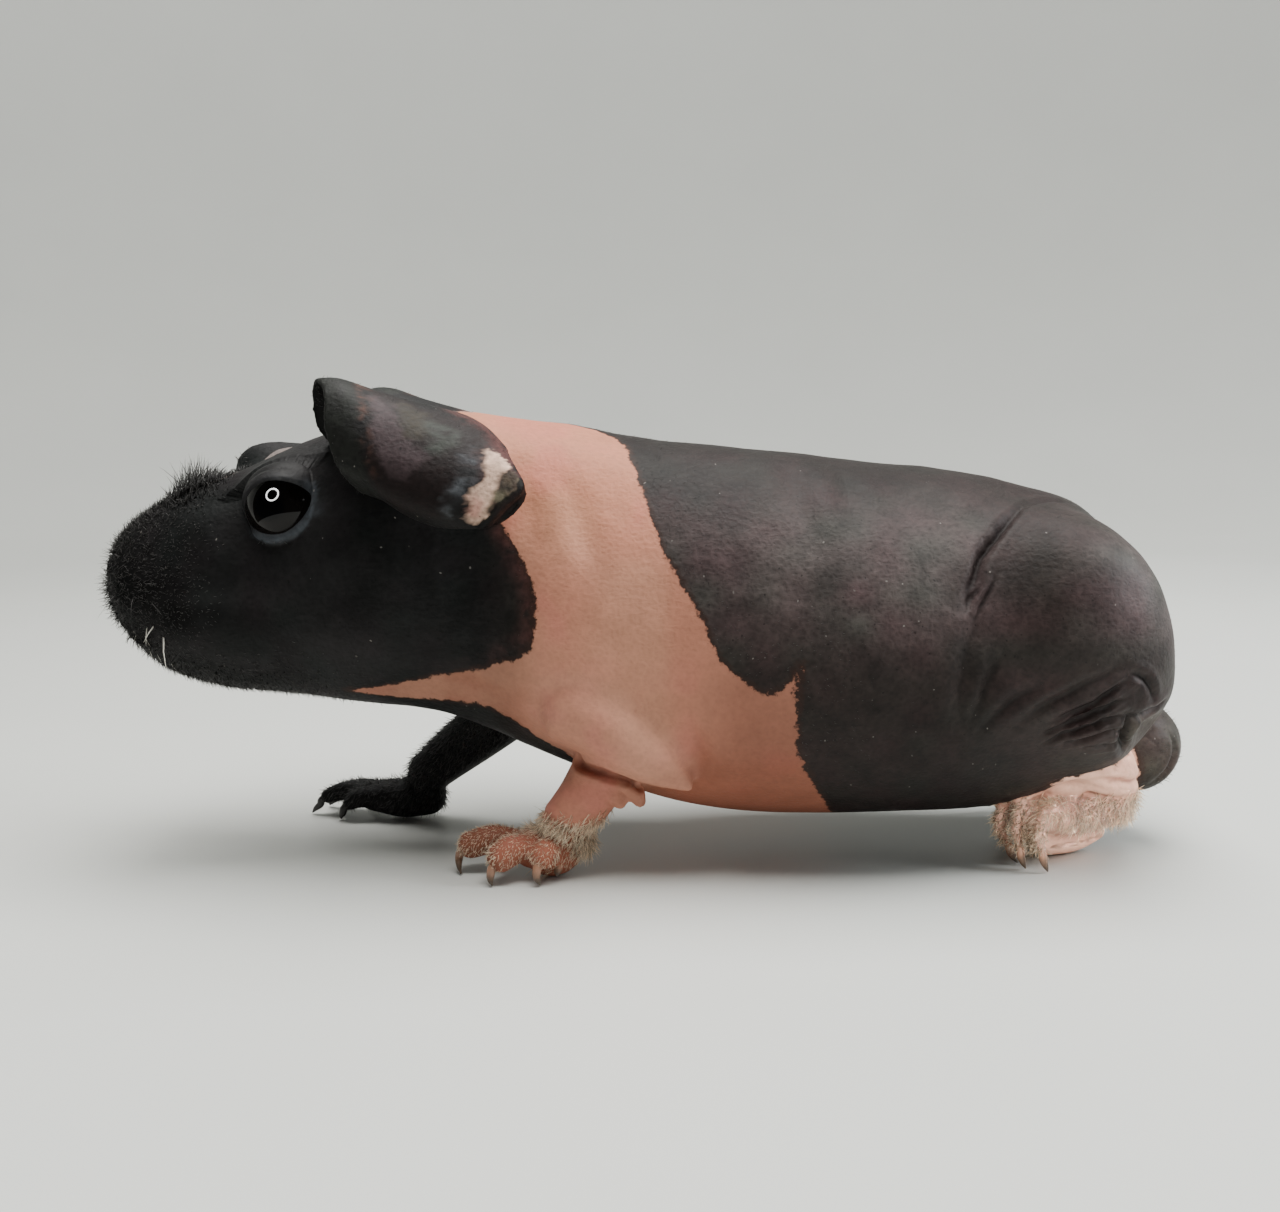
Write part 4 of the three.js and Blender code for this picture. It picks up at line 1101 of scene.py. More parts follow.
def pale_tints(points, normals, colours, cloud, mottle, speckle):
    """The pink skin: patches of rose and peach, redder below with painted shade where it faces down,
    painted shade on the lower flank and chest, darker and warmer towards the top as painted shade, palest
    at the hind foot and, as painted light, at the elbow.
    """
    x, _, z = points.T
    pale = plain(points, colours.pink_skin)
    pale = blend(pale, ramp(cloud + 0.6 * mottle, -0.1, 0.9) * 0.7, colours.rose_skin)
    pale = blend(pale, ramp(value_noise(points, 15.0, 14), 0.0, 0.7) * 0.7, colours.peach_skin)
    feet = feet_closeness(points)
    bare = ramp(np.minimum(feet, least_closeness(points, LEGS["left_fore"]["limbs"])), 1.2, 1.6)
    # Redder skin of the belly, and painted shade where the pink skin lies low or faces down.
    below = 1 - ramp(z, 12, 26 + 24 * ramp(x, 6, 20)) + ramp(-normals[:, 2], 0.3, 0.9)
    belly = np.clip(below, 0, 1) * 0.75 * (np.abs(x - 20) < 60) * bare
    pale = blend(pale, belly, colours.belly_skin_and_shade)
    toes = 0.6 * (1 - ramp(feet, 1.1, 1.5)) * ramp(mottle, -0.6, 0.4)
    pale = blend(pale, toes, colours.rose_skin)
    # Painted light: the elbow's flap is made paler on its outer face, the face turned to the left.
    flap = (1 - ramp(limb_closeness(points, LEFT_FLAP), 1.05, 1.4)) * ramp(-normals[:, 1], 0.2, 0.7)
    pale = blend(pale, 0.12 * flap, colours.foot_skin)
    paw = (foot_closeness(points, "left_fore") < 1.6) * (1 - ramp(z, 7, 13))
    pale = blend(pale, 0.85 * paw, colours.belly_skin_and_shade)
    # Painted shade on the lower flank and the lower chest, under the bulge of the body.
    flank = ramp(x, 6, 24) * (1 - ramp(z, 40, 66)) * (x < 60)
    chest = ramp(-x, 18, 32) * (1 - ramp(z, 42, 58))
    pale = pale * (1 - 0.3 * flank - 0.26 * chest)[:, None]
    pale = pale * (1 + 0.10 * cloud + 0.07 * mottle + 0.03 * speckle)[:, None]
    # Painted shade: the pink skin is darker and warmer towards the top, against the cool light from above.
    pale = pale * (1 - ramp(z, 62, 80)[:, None] * (0.05, 0.11, 0.18))
    hind = leg_closeness(points, "left_hind")
    return blend(pale, 0.85 * (hind < 1.6) * (x > BEHIND_BELLY), colours.foot_skin)


def cheek_edge(points, mottle, speckle):
    """How much of the freckled dark red there is along the rear edge of the cheek."""
    x, _, z = points.T
    edge = ramp(pink_depth(points), -5.0, -0.4) * ramp(z, 42, 54) * ramp(-x, 12, 20)
    return edge * ramp(mottle + speckle, -1.0, 0.4)


def skin_tints(points, normals, colours, shape):
    """Linear colours of the dark skin and of the pale skin at each point, without their grain."""
    cloud, mottle, speckle = (value_noise(points, *kind) for kind in ((9.0, 11), (3.2, 12), (1.3, 13)))
    row, place_on, inner = ear_places(points)
    on_ear = (row >= 0) & ((place_on > 0.8) | (row > 5))
    dark = dark_tints(points, colours, cloud, mottle, speckle)
    dark = blend(dark, on_ear * 0.7, colours.ear_skin)
    dark = blend(dark, 0.75 * cheek_edge(points, mottle, speckle), colours.wine)
    dark = ear_tints(dark, (row, place_on, on_ear, inner), colours, mottle, speckle)
    dark = blend(dark, lid_rim_and_highlight(points, shape) * (0.75 + 0.25 * speckle), colours.lid)
    return dark, pale_tints(points, normals, colours, cloud, mottle, speckle), on_ear


def hollowness(points, triangles, rounds=14):
    """How far each point lies below the mean of the skin around it, for the painted shade in the folds."""
    normals = point_normals(points, triangles)
    edges = mesh_edges(triangles)
    around = relaxed(points, edges, 0.6, rounds)
    return np.sum((around - points) * normals, axis=1)


def add_colour(mesh, name, colours):
    """Stores one linear colour for each point of the mesh."""
    layer = mesh.attributes.new(name, "FLOAT_COLOR", "POINT")
    filled = np.concatenate([np.clip(colours, 0, 1), np.ones((len(colours), 1))], 1)
    layer.data.foreach_set("color", filled.astype(np.float32).ravel())


def skin_sheen(points):
    """How oily the skin is: most on the forehead, the saddle's top and the haunch."""
    x, _, z = points.T
    forehead = ramp(z, 76, 84) * ramp(x, -86, -78) * (1 - ramp(x, -50, -40))
    back = ramp(x, -12, 10) * ramp(z, 60, 80)
    haunch = ramp(x, 78, 96) * ramp(z, 40, 56)
    low_haunch = ramp(x, 62, 74) * (1 - ramp(z, 46, 60)) * ramp(z, 14, 24)
    return 0.015 + np.max([0.05 * forehead, 0.005 * back, 0.16 * haunch, 0.16 * low_haunch], axis=0)


# The thin pale line over the head, which bends as the head is turned a little: place along
# the head, place across it, and half its width.
PALE_LINE = [
    (-94, -2.4, 0.6), (-90, -2.2, 1.2), (-86, -2.2, 1.3), (-84, -1.0, 1.4), (-82, 1.8, 1.4),
    (-80, 4.6, 1.3), (-78, 6.2, 1.3), (-75, 7.0, 1.1), (-71, 6.8, 1.0), (-65, 5.0, 0.8),
    (-58, 3.0, 0.8), (-48, 0.8, 0.8), (-40, -0.6, 1.0), (-34, -1.4, 1.0),
]


def pale_line_depth(points):
    """How far inside the thin pale line on the middle of the head each point lies."""
    x, y, z = points.T
    along, across, wide = np.array(PALE_LINE).T
    off = np.abs(y - np.interp(x, along, across))
    inside = 0.7 * np.interp(x, along, wide) - off + 0.3 * value_noise(points, 2.4, 21)
    return np.where((x > along[0]) & (x < along[-1]) & (z > 77), inside, -1.0)


def add_attribute(mesh, name, values):
    """Stores one number for each point of the mesh."""
    attribute = mesh.attributes.new(name, "FLOAT", "POINT")
    attribute.data.foreach_set("value", np.asarray(values, np.float32))


# ---- materials ---------------------------------------------------------


def place(tree, kind, values=None, **settings):
    """A shader node with its settings, and its inputs set to values or linked to sockets."""
    node = tree.nodes.new(kind)
    for key, value in settings.items():
        setattr(node, key, value)
    for key, value in (values or {}).items():
        if isinstance(value, bpy.types.NodeSocket):
            tree.links.new(value, node.inputs[key])
        else:
            node.inputs[key].default_value = value
    return node


def maths(tree, operation, a, b=0.0, c=0.0, clamp=False):
    """The output of a Math node."""
    values = {0: a, 1: b, 2: c}
    return place(tree, "ShaderNodeMath", values, operation=operation, use_clamp=clamp).outputs[0]


def vector_maths(tree, operation, values):
    """The output of a Vector Math node."""
    return place(tree, "ShaderNodeVectorMath", values, operation=operation).outputs[0]


def mixed(tree, factor, a, b, blend_type="MIX"):
    """The colour output of a Mix node."""
    values = {0: factor, 6: a, 7: b}
    return place(tree, "ShaderNodeMix", values, data_type="RGBA", blend_type=blend_type).outputs[2]


def scaled_colour(tree, base, amount):
    """The colour with each of its three parts multiplied by one number."""
    grey = place(tree, "ShaderNodeCombineXYZ", {0: amount, 1: amount, 2: amount}).outputs[0]
    return mixed(tree, 1.0, base, grey, "MULTIPLY")


def stepped(tree, value, low, high, out_low=0.0, out_high=1.0):
    """A smooth Map Range from low..high to out_low..out_high."""
    return place(
        tree, "ShaderNodeMapRange",
        {"Value": value, "From Min": low, "From Max": high, "To Min": out_low, "To Max": out_high},
        interpolation_type="SMOOTHSTEP").outputs[0]


def noise(tree, vector, size, detail=2.0, roughness=0.5):
    """Noise whose features are about this many millimetres wide."""
    return place(
        tree, "ShaderNodeTexNoise",
        {"Vector": vector, "Scale": 1 / (size * MM), "Detail": detail, "Roughness": roughness}).outputs[0]


def attribute(tree, name):
    """One of the piece's own numbers."""
    return place(tree, "ShaderNodeAttribute", attribute_name=name).outputs["Fac"]


def new_group(name, inputs, outputs):
    """An empty node group with these sockets, its input node and its output node."""
    group = bpy.data.node_groups.new(name, "ShaderNodeTree")
    for label, kind, default in inputs:
        socket = group.interface.new_socket(label, in_out="INPUT", socket_type=kind)
        if default is not None:
            socket.default_value = default
    for label, kind in outputs:
        group.interface.new_socket(label, in_out="OUTPUT", socket_type=kind)
    return group, group.nodes.new("NodeGroupInput"), group.nodes.new("NodeGroupOutput")


def grain_group():
    """Skin grain: pebbles, pores, short wrinkles and flecks, as a height in 0..1 and as masks."""
    group, entry, leave = new_group(
        "skin grain",
        [("Where", "NodeSocketVector", None), ("Pebble Size", "NodeSocketFloat", 0.9),
         ("Wrinkles", "NodeSocketFloat", 0.5)],
        [("Height", "NodeSocketFloat"), ("Shade", "NodeSocketFloat"), ("Fleck", "NodeSocketFloat"),
         ("Pore", "NodeSocketFloat")])
    where = entry.outputs["Where"]
    warp = place(group, "ShaderNodeTexNoise", {"Vector": where, "Scale": 1 / (1.8 * MM), "Detail": 1.0})
    nudge = vector_maths(group, "SUBTRACT", {0: warp.outputs["Color"], 1: (0.5, 0.5, 0.5)})
    nudge = vector_maths(group, "SCALE", {0: nudge, 3: 1.1 * MM})
    bent = vector_maths(group, "ADD", {0: where, 1: nudge})
    scale = maths(group, "DIVIDE", 1 / MM, entry.outputs["Pebble Size"])
    values = {"Vector": bent, "Scale": scale, "Smoothness": 0.6}
    pebble = place(group, "ShaderNodeTexVoronoi", values, feature="SMOOTH_F1")
    values = {"Vector": bent, "Scale": (0.35, 0.6, 1.7)}
    stretched = place(group, "ShaderNodeMapping", values, vector_type="POINT")
    wrinkle = noise(group, stretched.outputs[0], 1.1, 3.0, 0.6)
    wrinkle = maths(group, "MULTIPLY", wrinkle, entry.outputs["Wrinkles"])
    fine = noise(group, where, 0.28, 2.0, 0.6)
    height = maths(group, "MULTIPLY", pebble.outputs["Distance"], 0.45)
    height = maths(group, "MULTIPLY_ADD", wrinkle, 0.6, height)
    height = maths(group, "MULTIPLY_ADD", fine, 0.22, height)
    group.links.new(height, leave.inputs["Height"])
    cells = maths(group, "MULTIPLY_ADD", pebble.outputs["Distance"], 0.5, 0.72)
    cloud = maths(group, "SUBTRACT", noise(group, bent, 1.5, 3.0, 0.65), 0.5)
    shade = maths(group, "MULTIPLY_ADD", cloud, 0.9, cells)
    group.links.new(shade, leave.inputs["Shade"])
    for label, size, small, large in (("Fleck", 2.9, 0.045, 0.085), ("Pore", 1.5, 0.07, 0.17)):
        dots = place(group, "ShaderNodeTexVoronoi", {"Vector": bent, "Scale": 1 / (size * MM)})
        chosen = place(group, "ShaderNodeSeparateColor", {0: dots.outputs["Color"]}).outputs[0]
        spot = stepped(group, dots.outputs["Distance"], small, large, 1.0, 0.0)
        kept = stepped(group, chosen, 0.55, 0.75)
        group.links.new(maths(group, "MULTIPLY", spot, kept), leave.inputs[label])
    return group


def new_material(name):
    """An empty node material, its tree, its Principled shader and its Object coordinates."""
    material = bpy.data.materials.new(name)
    material.use_nodes = True
    tree = material.node_tree
    tree.nodes.clear()
    shader = tree.nodes.new("ShaderNodeBsdfPrincipled")
    output = tree.nodes.new("ShaderNodeOutputMaterial")
    tree.links.new(shader.outputs[0], output.inputs[0])
    coordinates = tree.nodes.new("ShaderNodeTexCoord").outputs["Object"]
    return material, tree, shader, coordinates


def attribute_colour(tree, name):
    """One of the piece's own colours."""
    return place(tree, "ShaderNodeAttribute", attribute_name=name).outputs["Color"]


def skin_material(colours, grain):
    """Dark and pink hairless skin on one surface, split by the pink attribute."""
    material, tree, shader, where = new_material("hairless skin")
    depth, hollow, sheen = (attribute(tree, name) for name in ("pink", "hollow", "sheen"))
    detail = place(
        tree, "ShaderNodeGroup", {"Where": where, "Pebble Size": 0.95, "Wrinkles": 0.7}, node_tree=grain)
    height, shade, fleck, pore = (detail.outputs[k] for k in ("Height", "Shade", "Fleck", "Pore"))
    ragged = maths(tree, "SUBTRACT", noise(tree, where, 2.0, 4.0, 0.7), 0.5)
    edge = maths(tree, "MULTIPLY_ADD", ragged, 3.6, depth)
    pink = stepped(tree, edge, -0.25, 0.35)
    dark = scaled_colour(tree, attribute_colour(tree, "dark"), shade)
    dark = mixed(tree, maths(tree, "MULTIPLY", pore, 0.6), dark, (0.002, 0.002, 0.002, 1.0))
    dark = mixed(tree, maths(tree, "MULTIPLY", fleck, 0.75), dark, tuple(colours.fleck))
    fringe = maths(tree, "MULTIPLY", stepped(tree, edge, -1.5, -0.2), 0.75)
    dark = mixed(tree, fringe, dark, tuple(colours.fringe))
    soft = maths(tree, "MULTIPLY_ADD", maths(tree, "SUBTRACT", shade, 0.85), 0.3, 1.0)
    rose = scaled_colour(tree, attribute_colour(tree, "pale"), soft)
    rose = mixed(tree, maths(tree, "MULTIPLY", pore, 0.16), rose, tuple(colours.rose_skin))
    base = mixed(tree, pink, dark, rose)
    line = stepped(tree, maths(tree, "MULTIPLY_ADD", ragged, 0.8, attribute(tree, "blaze")), -0.05, 0.18)
    base = mixed(tree, maths(tree, "MULTIPLY", line, 0.8), base, tuple(colours.blaze))
    # Painted shade in the folds: near black in the dark skin, the crease colour in the pink.
    fold_shade = stepped(tree, hollow, 0.02, 0.5, 0.0, 0.6)
    base = mixed(tree, fold_shade, base, mixed(tree, pink, (0.003, 0.0025, 0.0025, 1.0), tuple(colours.crease)))
    tree.links.new(base, shader.inputs["Base Color"])
    bump = place(tree, "ShaderNodeBump", {"Height": height, "Strength": 0.6, "Distance": 0.00032})
    tree.links.new(bump.outputs[0], shader.inputs["Normal"])
    tree.links.new(maths(tree, "MULTIPLY_ADD", height, 0.25, 0.48), shader.inputs["Roughness"])
    tree.links.new(sheen, shader.inputs["Coat Weight"])
    shader.inputs["Coat Roughness"].default_value = 0.48
    shader.inputs["Coat IOR"].default_value = 1.4
    shader.inputs["Specular IOR Level"].default_value = 0.16
    return material


def fur_material(name, root, tip):
    """Hair that runs from its root colour to its tip colour, no two hairs quite alike."""
    material, tree, shader, _ = new_material(name)
    along, shade = attribute(tree, "along"), attribute(tree, "shade")
    base = scaled_colour(tree, mixed(tree, along, root, tip), shade)
    tree.links.new(base, shader.inputs["Base Color"])
    shader.inputs["Roughness"].default_value = 0.5
    shader.inputs["Specular IOR Level"].default_value = 0.22
    return material


def eye_material(colours):
    """A near-black brown iris round a black pupil, wet and clear."""
    material, tree, shader, where = new_material("eye")
    iris = stepped(tree, attribute(tree, "turn"), 20.0, 26.0)
    streaks = noise(tree, where, 0.5, 3.0, 0.7)
    brown = mixed(tree, streaks, tuple(colours.iris), (0.004, 0.003, 0.003, 1.0))
    base = mixed(tree, iris, (0.0015, 0.0015, 0.002, 1.0), brown)
    tree.links.new(base, shader.inputs["Base Color"])
    shader.inputs["Roughness"].default_value = 0.03
    shader.inputs["Specular IOR Level"].default_value = 0.16
    return material


def claw_material(name, root, tip):
    """Horn that darkens from its root to its tip, with fine streaks along it."""
    material, tree, shader, where = new_material(name)
    along = attribute(tree, "along")
    grain = noise(tree, where, 0.6, 3.0, 0.6)
    base = mixed(tree, stepped(tree, maths(tree, "MULTIPLY_ADD", grain, 0.3, along), 0.35, 0.95), root, tip)
    tree.links.new(base, shader.inputs["Base Color"])
    bump = place(tree, "ShaderNodeBump", {"Height": grain, "Strength": 0.3, "Distance": 0.00008})
    tree.links.new(bump.outputs[0], shader.inputs["Normal"])
    shader.inputs["Roughness"].default_value = 0.35
    shader.inputs["Coat Weight"].default_value = 0.3
    return material


# ---- eyes and claws ----------------------------------------------------


def eyeball(side, rings=90, around=120):
    """A ball round the outward axis, whose clear front bulges: r = R + h * e^-(t/w)^2."""
    centre, outward_way, rearward, upward = eye_frame(side)
    turn = np.linspace(0, np.pi, rings + 1)[1:-1, None]
    angle = turns(around)[None, :]
    radius = EYE_RADIUS + CORNEA_BULGE * bell(turn, 0, 0.62)
    local = np.stack([
        radius * np.cos(turn) + 0 * angle,
        radius * np.sin(turn) * np.cos(angle),
        radius * np.sin(turn) * np.sin(angle)], -1)
    axes = np.stack([outward_way, rearward, upward])
    front = centre + outward_way * (EYE_RADIUS + CORNEA_BULGE)
    points, faces = closed_loft(centre + local @ axes, front, centre - outward_way * EYE_RADIUS)
    degrees_off = np.degrees(np.concatenate([[0], np.repeat(turn.ravel(), around), [np.pi]]))
    return points, faces, degrees_off


def claw(toe, tip, base, point):
    """A claw that leaves the end of its toe, hangs down and narrows, and its share along it."""
    toe, tip = np.array(toe), np.array(tip)
    root = toe[-1, :3]
    across, up = toe[-1, 3:]
    onward = unit(root - toe[-2, :3])
    leaving = root + onward * across * 0.6 + (0, 0, -0.2 * up)
    bend = root + onward * across * 0.78 + (0, 0, -0.6 * up)
    bend[2] = max(bend[2], tip[2] + 1.2)
    middle = (bend + tip) / 2 + onward * 0.2
    stations = [
        (*root, base, base), (*leaving, base, base * 1.05), (*bend, base * 0.9, base),
        (*middle, base * 0.62, base * 0.72), (*tip, point, point),
    ]
    around = 18
    points, faces = limb_loft(stations, around=around, per_station=10, cap=4)
    rows = (len(points) - 2) // around
    along = np.concatenate([[0], np.repeat(np.linspace(0, 1, rows), around), [1]])
    return points, faces, along


# ---- coat --------------------------------------------------------------

HAIR_SHARES = np.array([0.0, 0.42, 0.78])  # where a hair's three rings stand
HAIR_SIDES = 3
HAIR_POINTS = 10  # three for each ring, and the tip
PATCH = 0.003  # size of a hair's patch in its UV map


def hair_faces():
    """Triangles of one hair, and the places of their corners in its UV patch, from -0.5 to 0.5."""
    faces, places = [(0, 2, 1)], [((0, 0), (0.33, 0), (0.66, 0))]
    for ring, (low, high) in enumerate(zip(HAIR_SHARES, [*HAIR_SHARES[1:], 1.0])):
        for k in range(HAIR_SIDES):
            a, b = ring * 3 + k, ring * 3 + (k + 1) % 3
            left, right = k / 3, (k + 1) / 3
            first, second = (left, low), (right, low)
            if ring == len(HAIR_SHARES) - 1:
                faces.append((a, b, HAIR_POINTS - 1))
                places.append((first, second, ((left + right) / 2, high)))
            else:
                faces += [(a, b, b + 3), (a, b + 3, a + 3)]
                places += [(first, second, (right, high)), (first, (right, high), (left, high))]
    return np.array(faces), np.array(places) - 0.5


def hairs(rng, roots, first, last, long, wide):
    """Tapered hairs with a bend.

    A hair's middle line is root + length * (s * first + s^2 / 2 * (last - first)) and its
    radius is width * (1 - 0.8 s), for s from 0 to 1; the two directions have length one.
    """
    count = len(roots)
    side = unit(np.cross(first, rng.normal(size=(count, 3))))
    other = np.cross(first, side)
    share = np.append(HAIR_SHARES, 1.0)[None, :, None]
    middle = roots[:, None] + long[:, None, None] * (
        share * first[:, None] + share**2 / 2 * (last - first)[:, None])
    angle = np.arange(HAIR_SIDES) * 2 * np.pi / HAIR_SIDES
    ring = side[:, None] * np.cos(angle)[:, None] + other[:, None] * np.sin(angle)[:, None]
    radius = wide[:, None] * (1 - 0.8 * HAIR_SHARES)
    rings = middle[:, :3, None] + ring[:, None] * radius[:, :, None, None]
    points = np.concatenate([rings.reshape(count, HAIR_POINTS - 1, 3), middle[:, 3:]], axis=1)
    faces = hair_faces()[0][None] + HAIR_POINTS * np.arange(count)[:, None, None]
    return points.reshape(-1, 3), faces.reshape(-1, 3)


BODY_AXIS = BODY_ROWS[:, (0, 0, 4)] * (1, 0, 1)


def unwrapped(roots, axis):
    """UV places of the hairs on these roots, and shares along them, in the order of points.

    The skin is rolled out round a middle line: along X, and round the line. Each
    hair has a small patch of its own there.
    """
    axis = axis[np.argsort(axis[:, 0])]
    low, high = roots[:, 0].min(), roots[:, 0].max()
    along = (roots[:, 0] - low) / max(high - low, 1e-6)
    middle_y, middle_z = (np.interp(roots[:, 0], axis[:, 0], axis[:, k]) for k in (1, 2))
    round_it = np.arctan2(roots[:, 1] - middle_y, roots[:, 2] - middle_z) / (2 * np.pi) + 0.5
    centres = np.stack([along, round_it], 1) * (1 - 2 * PATCH) + PATCH
    places = centres[:, None, None] + PATCH * hair_faces()[1][None]
    shares = np.append(np.repeat(HAIR_SHARES, HAIR_SIDES), 1.0)
    return places.reshape(-1, 2), np.tile(shares, len(roots))


def scattered(rng, points, triangles, per_mm):
    """Random places on the triangles, so many for each square millimetre, as triangle numbers
    and shares of their corners."""
    a, b, c = (points[triangles[:, k]] for k in range(3))
    area = np.linalg.norm(np.cross(b - a, c - a), axis=1) / 2
    expected = area * per_mm[triangles].mean(axis=1)
    counts = np.floor(expected + rng.random(len(expected))).astype(int)
    chosen = np.repeat(np.arange(len(triangles)), counts)
    first, second = rng.random((2, len(chosen)))
    over = first + second > 1
    first[over], second[over] = 1 - first[over], 1 - second[over]
    return chosen, np.stack([1 - first - second, first, second], 1)


def read_over(values, triangles, chosen, shares):
    """Values of the points, read at random places on the triangles."""
    picked = values[triangles[chosen]]
    return np.sum(picked * shares.reshape(shares.shape + (1,) * (picked.ndim - 2)), axis=1)


def coat_bridge(points, normals):
    """Upright fuzz on the bridge of the nose: hairs for each square millimetre, and length."""
    x, up = points[:, 0], normals[:, 2]
    middle = bell(points[:, 1], 0, 6.5)
    thick = 5.0 * ramp(up, 0.1, 0.5) * ramp(-x, 83, 89) * middle * ramp(x, -118, -110)
    return thick, 1.4 + 6.6 * bell(x, -94.5, 4.2) * middle


def coat_muzzle(points, normals):
    """Short fur over the muzzle, thinning out on the cheeks."""
    x, y, z = points.T
    thick = 3.4 * ramp(-x, 84, 101)
    bare = np.exp(-(((np.abs(y) - 2.9) / 2.2) ** 2) - ((z - 63.6) / 2.6) ** 2) * ramp(-x, 108, 110)
    return thick * (1 - 0.9 * bare), 1.1 + 1.5 * ramp(-x, 98, 112)


def coat_jaw(points, normals):
    """Short fur under the chin and jaw."""
    x, down = points[:, 0], -normals[:, 2]
    thick = 3.6 * ramp(-x, 56, 76) * ramp(down, 0.3, 0.75) * (1 - ramp(-x, 100, 106))
    return thick, 1.1 + 0.8 * ramp(-x, 70, 95)


def coat_limb(leg, top, thick, long, toe_share):
    """Fur on one foot and its leg up to a height, shorter and thinner on the toes."""
    def rule(points, normals):
        toes = least_closeness(points, LEGS[leg]["toes"])
        on = (leg_closeness(points, leg) < 1.5) * (1 - ramp(points[:, 2], top - 2.5, top + 1))
        on = on * ramp(normals[:, 2], -0.75, -0.35) * (points[:, 2] > 0.6)
        less = np.where(toes < 1.35, toe_share, 1.0)
        if leg == "left_hind":  # the edge of its sole is bare
            on = on * np.where(points[:, 0] > 84, ramp(points[:, 2], 6.4, 8.4), 1.0)
        return thick * on * less**0.8, long * less
    return rule


def coat_down(points, normals):
    """Sparse, very short down on the dark body, thickest at the front of the saddle."""
    x, z = points[:, 0], points[:, 2]
    depth = pink_depth(points)
    dark = ramp(-depth, 0.0, 0.8) * ramp(x, -30, -16) * ramp(z, 16, 30)
    front = bell(depth, -5, 9) * (x < 45)
    return dark * (0.1 + 0.75 * front + 0.25 * ramp(x, 70, 90)), 0.5 + 0.25 * front


def coat_rim(points, normals):
    """A few fine hairs on the rims of the ears and at the tip of the rump."""
    row, place_on, _ = ear_places(points)
    rim = (row >= 0) * np.clip(1 - np.abs(row - 0.1) / 0.35, 0, 1) * (place_on > 1.5)
    ridge = (row >= 0) * (np.abs(place_on - 3.0) < 0.5) * 0.25
    rump = ramp(points[:, 0], 106, 111) * (points[:, 2] < 34) * 0.5
    return 1.4 * rim + ridge + rump, 0.9 + 0.9 * rump


BACKWARD = np.array([1.0, 0, 0.05])
TOEWARD = np.array([-0.55, -0.25, -0.8])

# The coat's pieces: rule, the way it lies, how upright its roots and its tips stand,
# how tousled it is, a hair's radius, its kind of fur, and what it is rolled out round.
COATS = {
    "nose_fuzz": (coat_bridge, BACKWARD, 2.0, 0.9, 0.75, 0.11, "black", "body"),
    "muzzle_fur": (coat_muzzle, BACKWARD, 0.75, 0.25, 0.5, 0.08, "black", "body"),
    "jaw_fur": (coat_jaw, BACKWARD, 0.9, 0.3, 0.5, 0.075, "black", "body"),
    "left_fore_fur": (
        coat_limb("left_fore", 14.0, 15.0, 3.0, 0.38), TOEWARD, 0.5, 0.1, 0.5, 0.085, "tan", "left_fore"),
    "left_hind_fur": (
        coat_limb("left_hind", 15.0, 9.5, 3.1, 0.7), TOEWARD, 0.5, 0.1, 0.65, 0.105, "pale", "left_hind"),
    "right_fore_fur": (
        coat_limb("right_fore", 30.0, 4.0, 2.2, 0.7), TOEWARD, 0.6, 0.2, 0.45, 0.08, "black", "right_fore"),
    "right_hind_fur": (
        coat_limb("right_hind", 16.0, 4.0, 1.9, 0.6), TOEWARD, 0.5, 0.1, 0.4, 0.08, "black", "right_hind"),
    "body_down": (coat_down, BACKWARD, 0.6, 0.15, 0.4, 0.05, "grey", "body"),
    "rim_hairs": (coat_rim, BACKWARD, 1.0, 0.8, 0.7, 0.045, "grey", "body"),
}
FIRST_SEED, WHISKER_SEED = 100, 77
# Kinds of fur: name of the material, colours of root and tip, and slot.
FURS = {
    "black": ("black fur", "black_fur", "black_fur_tip", "skin_dark"),
    "grey": ("down", "black_fur_tip", "grey_down", "skin_dark"),
    "pale": ("pale fur", "pale_fur", "pale_fur_tip", "claw_pale"),
    "tan": ("tan fur", "tan_fur", "tan_fur_tip", "claw_pale"),
    "white whisker": ("white whisker", "white_whisker", "white_whisker", "claw_pale"),
    "black whisker": ("black whisker", "black_fur_tip", "black_fur_tip", "skin_dark"),
}


def fur(kind, colours):
    """The material of a kind of fur, and its slot."""
    name, root, tip, slot = FURS[kind]
    return fur_material(name, tuple(getattr(colours, root)), tuple(getattr(colours, tip))), slot


def coat_piece(name, seed, skin, strength):
    """Points, faces, UV places, shares along and shades of one piece of the coat."""
    rule, lie, root_up, tip_up, tousle, wide, _, where = COATS[name]
    points, triangles, normals = skin
    rng = np.random.default_rng(seed)
    per_mm, long = rule(points, normals)
    chosen, shares = scattered(rng, points, triangles, per_mm * strength)
    roots, normal, long = (read_over(v, triangles, chosen, shares) for v in (points, normals, long))
    normal = unit(normal)
    count = len(roots)
    flat = lie - normal * (normal @ lie)[:, None]
    messy = rng.normal(0, tousle, (count, 3))
    first = unit(normal * root_up + flat + messy)
    last = unit(normal * tip_up + flat + 0.7 * messy + rng.normal(0, tousle * 0.5, (count, 3)))
    long = long * rng.uniform(0.6, 1.25, count)
    wide = wide * rng.uniform(0.7, 1.3, count)
    made, faces = hairs(rng, roots - 0.15 * normal, first, last, long, wide)
    made[:, 2] = np.maximum(made[:, 2], 0.05)
    axis = BODY_AXIS if where == "body" else np.array(LEGS[where]["sole"])[:, :3]
    shade = np.repeat(rng.uniform(0.5, 1.4, count), HAIR_POINTS)
    return made, faces, *unwrapped(roots, axis), shade


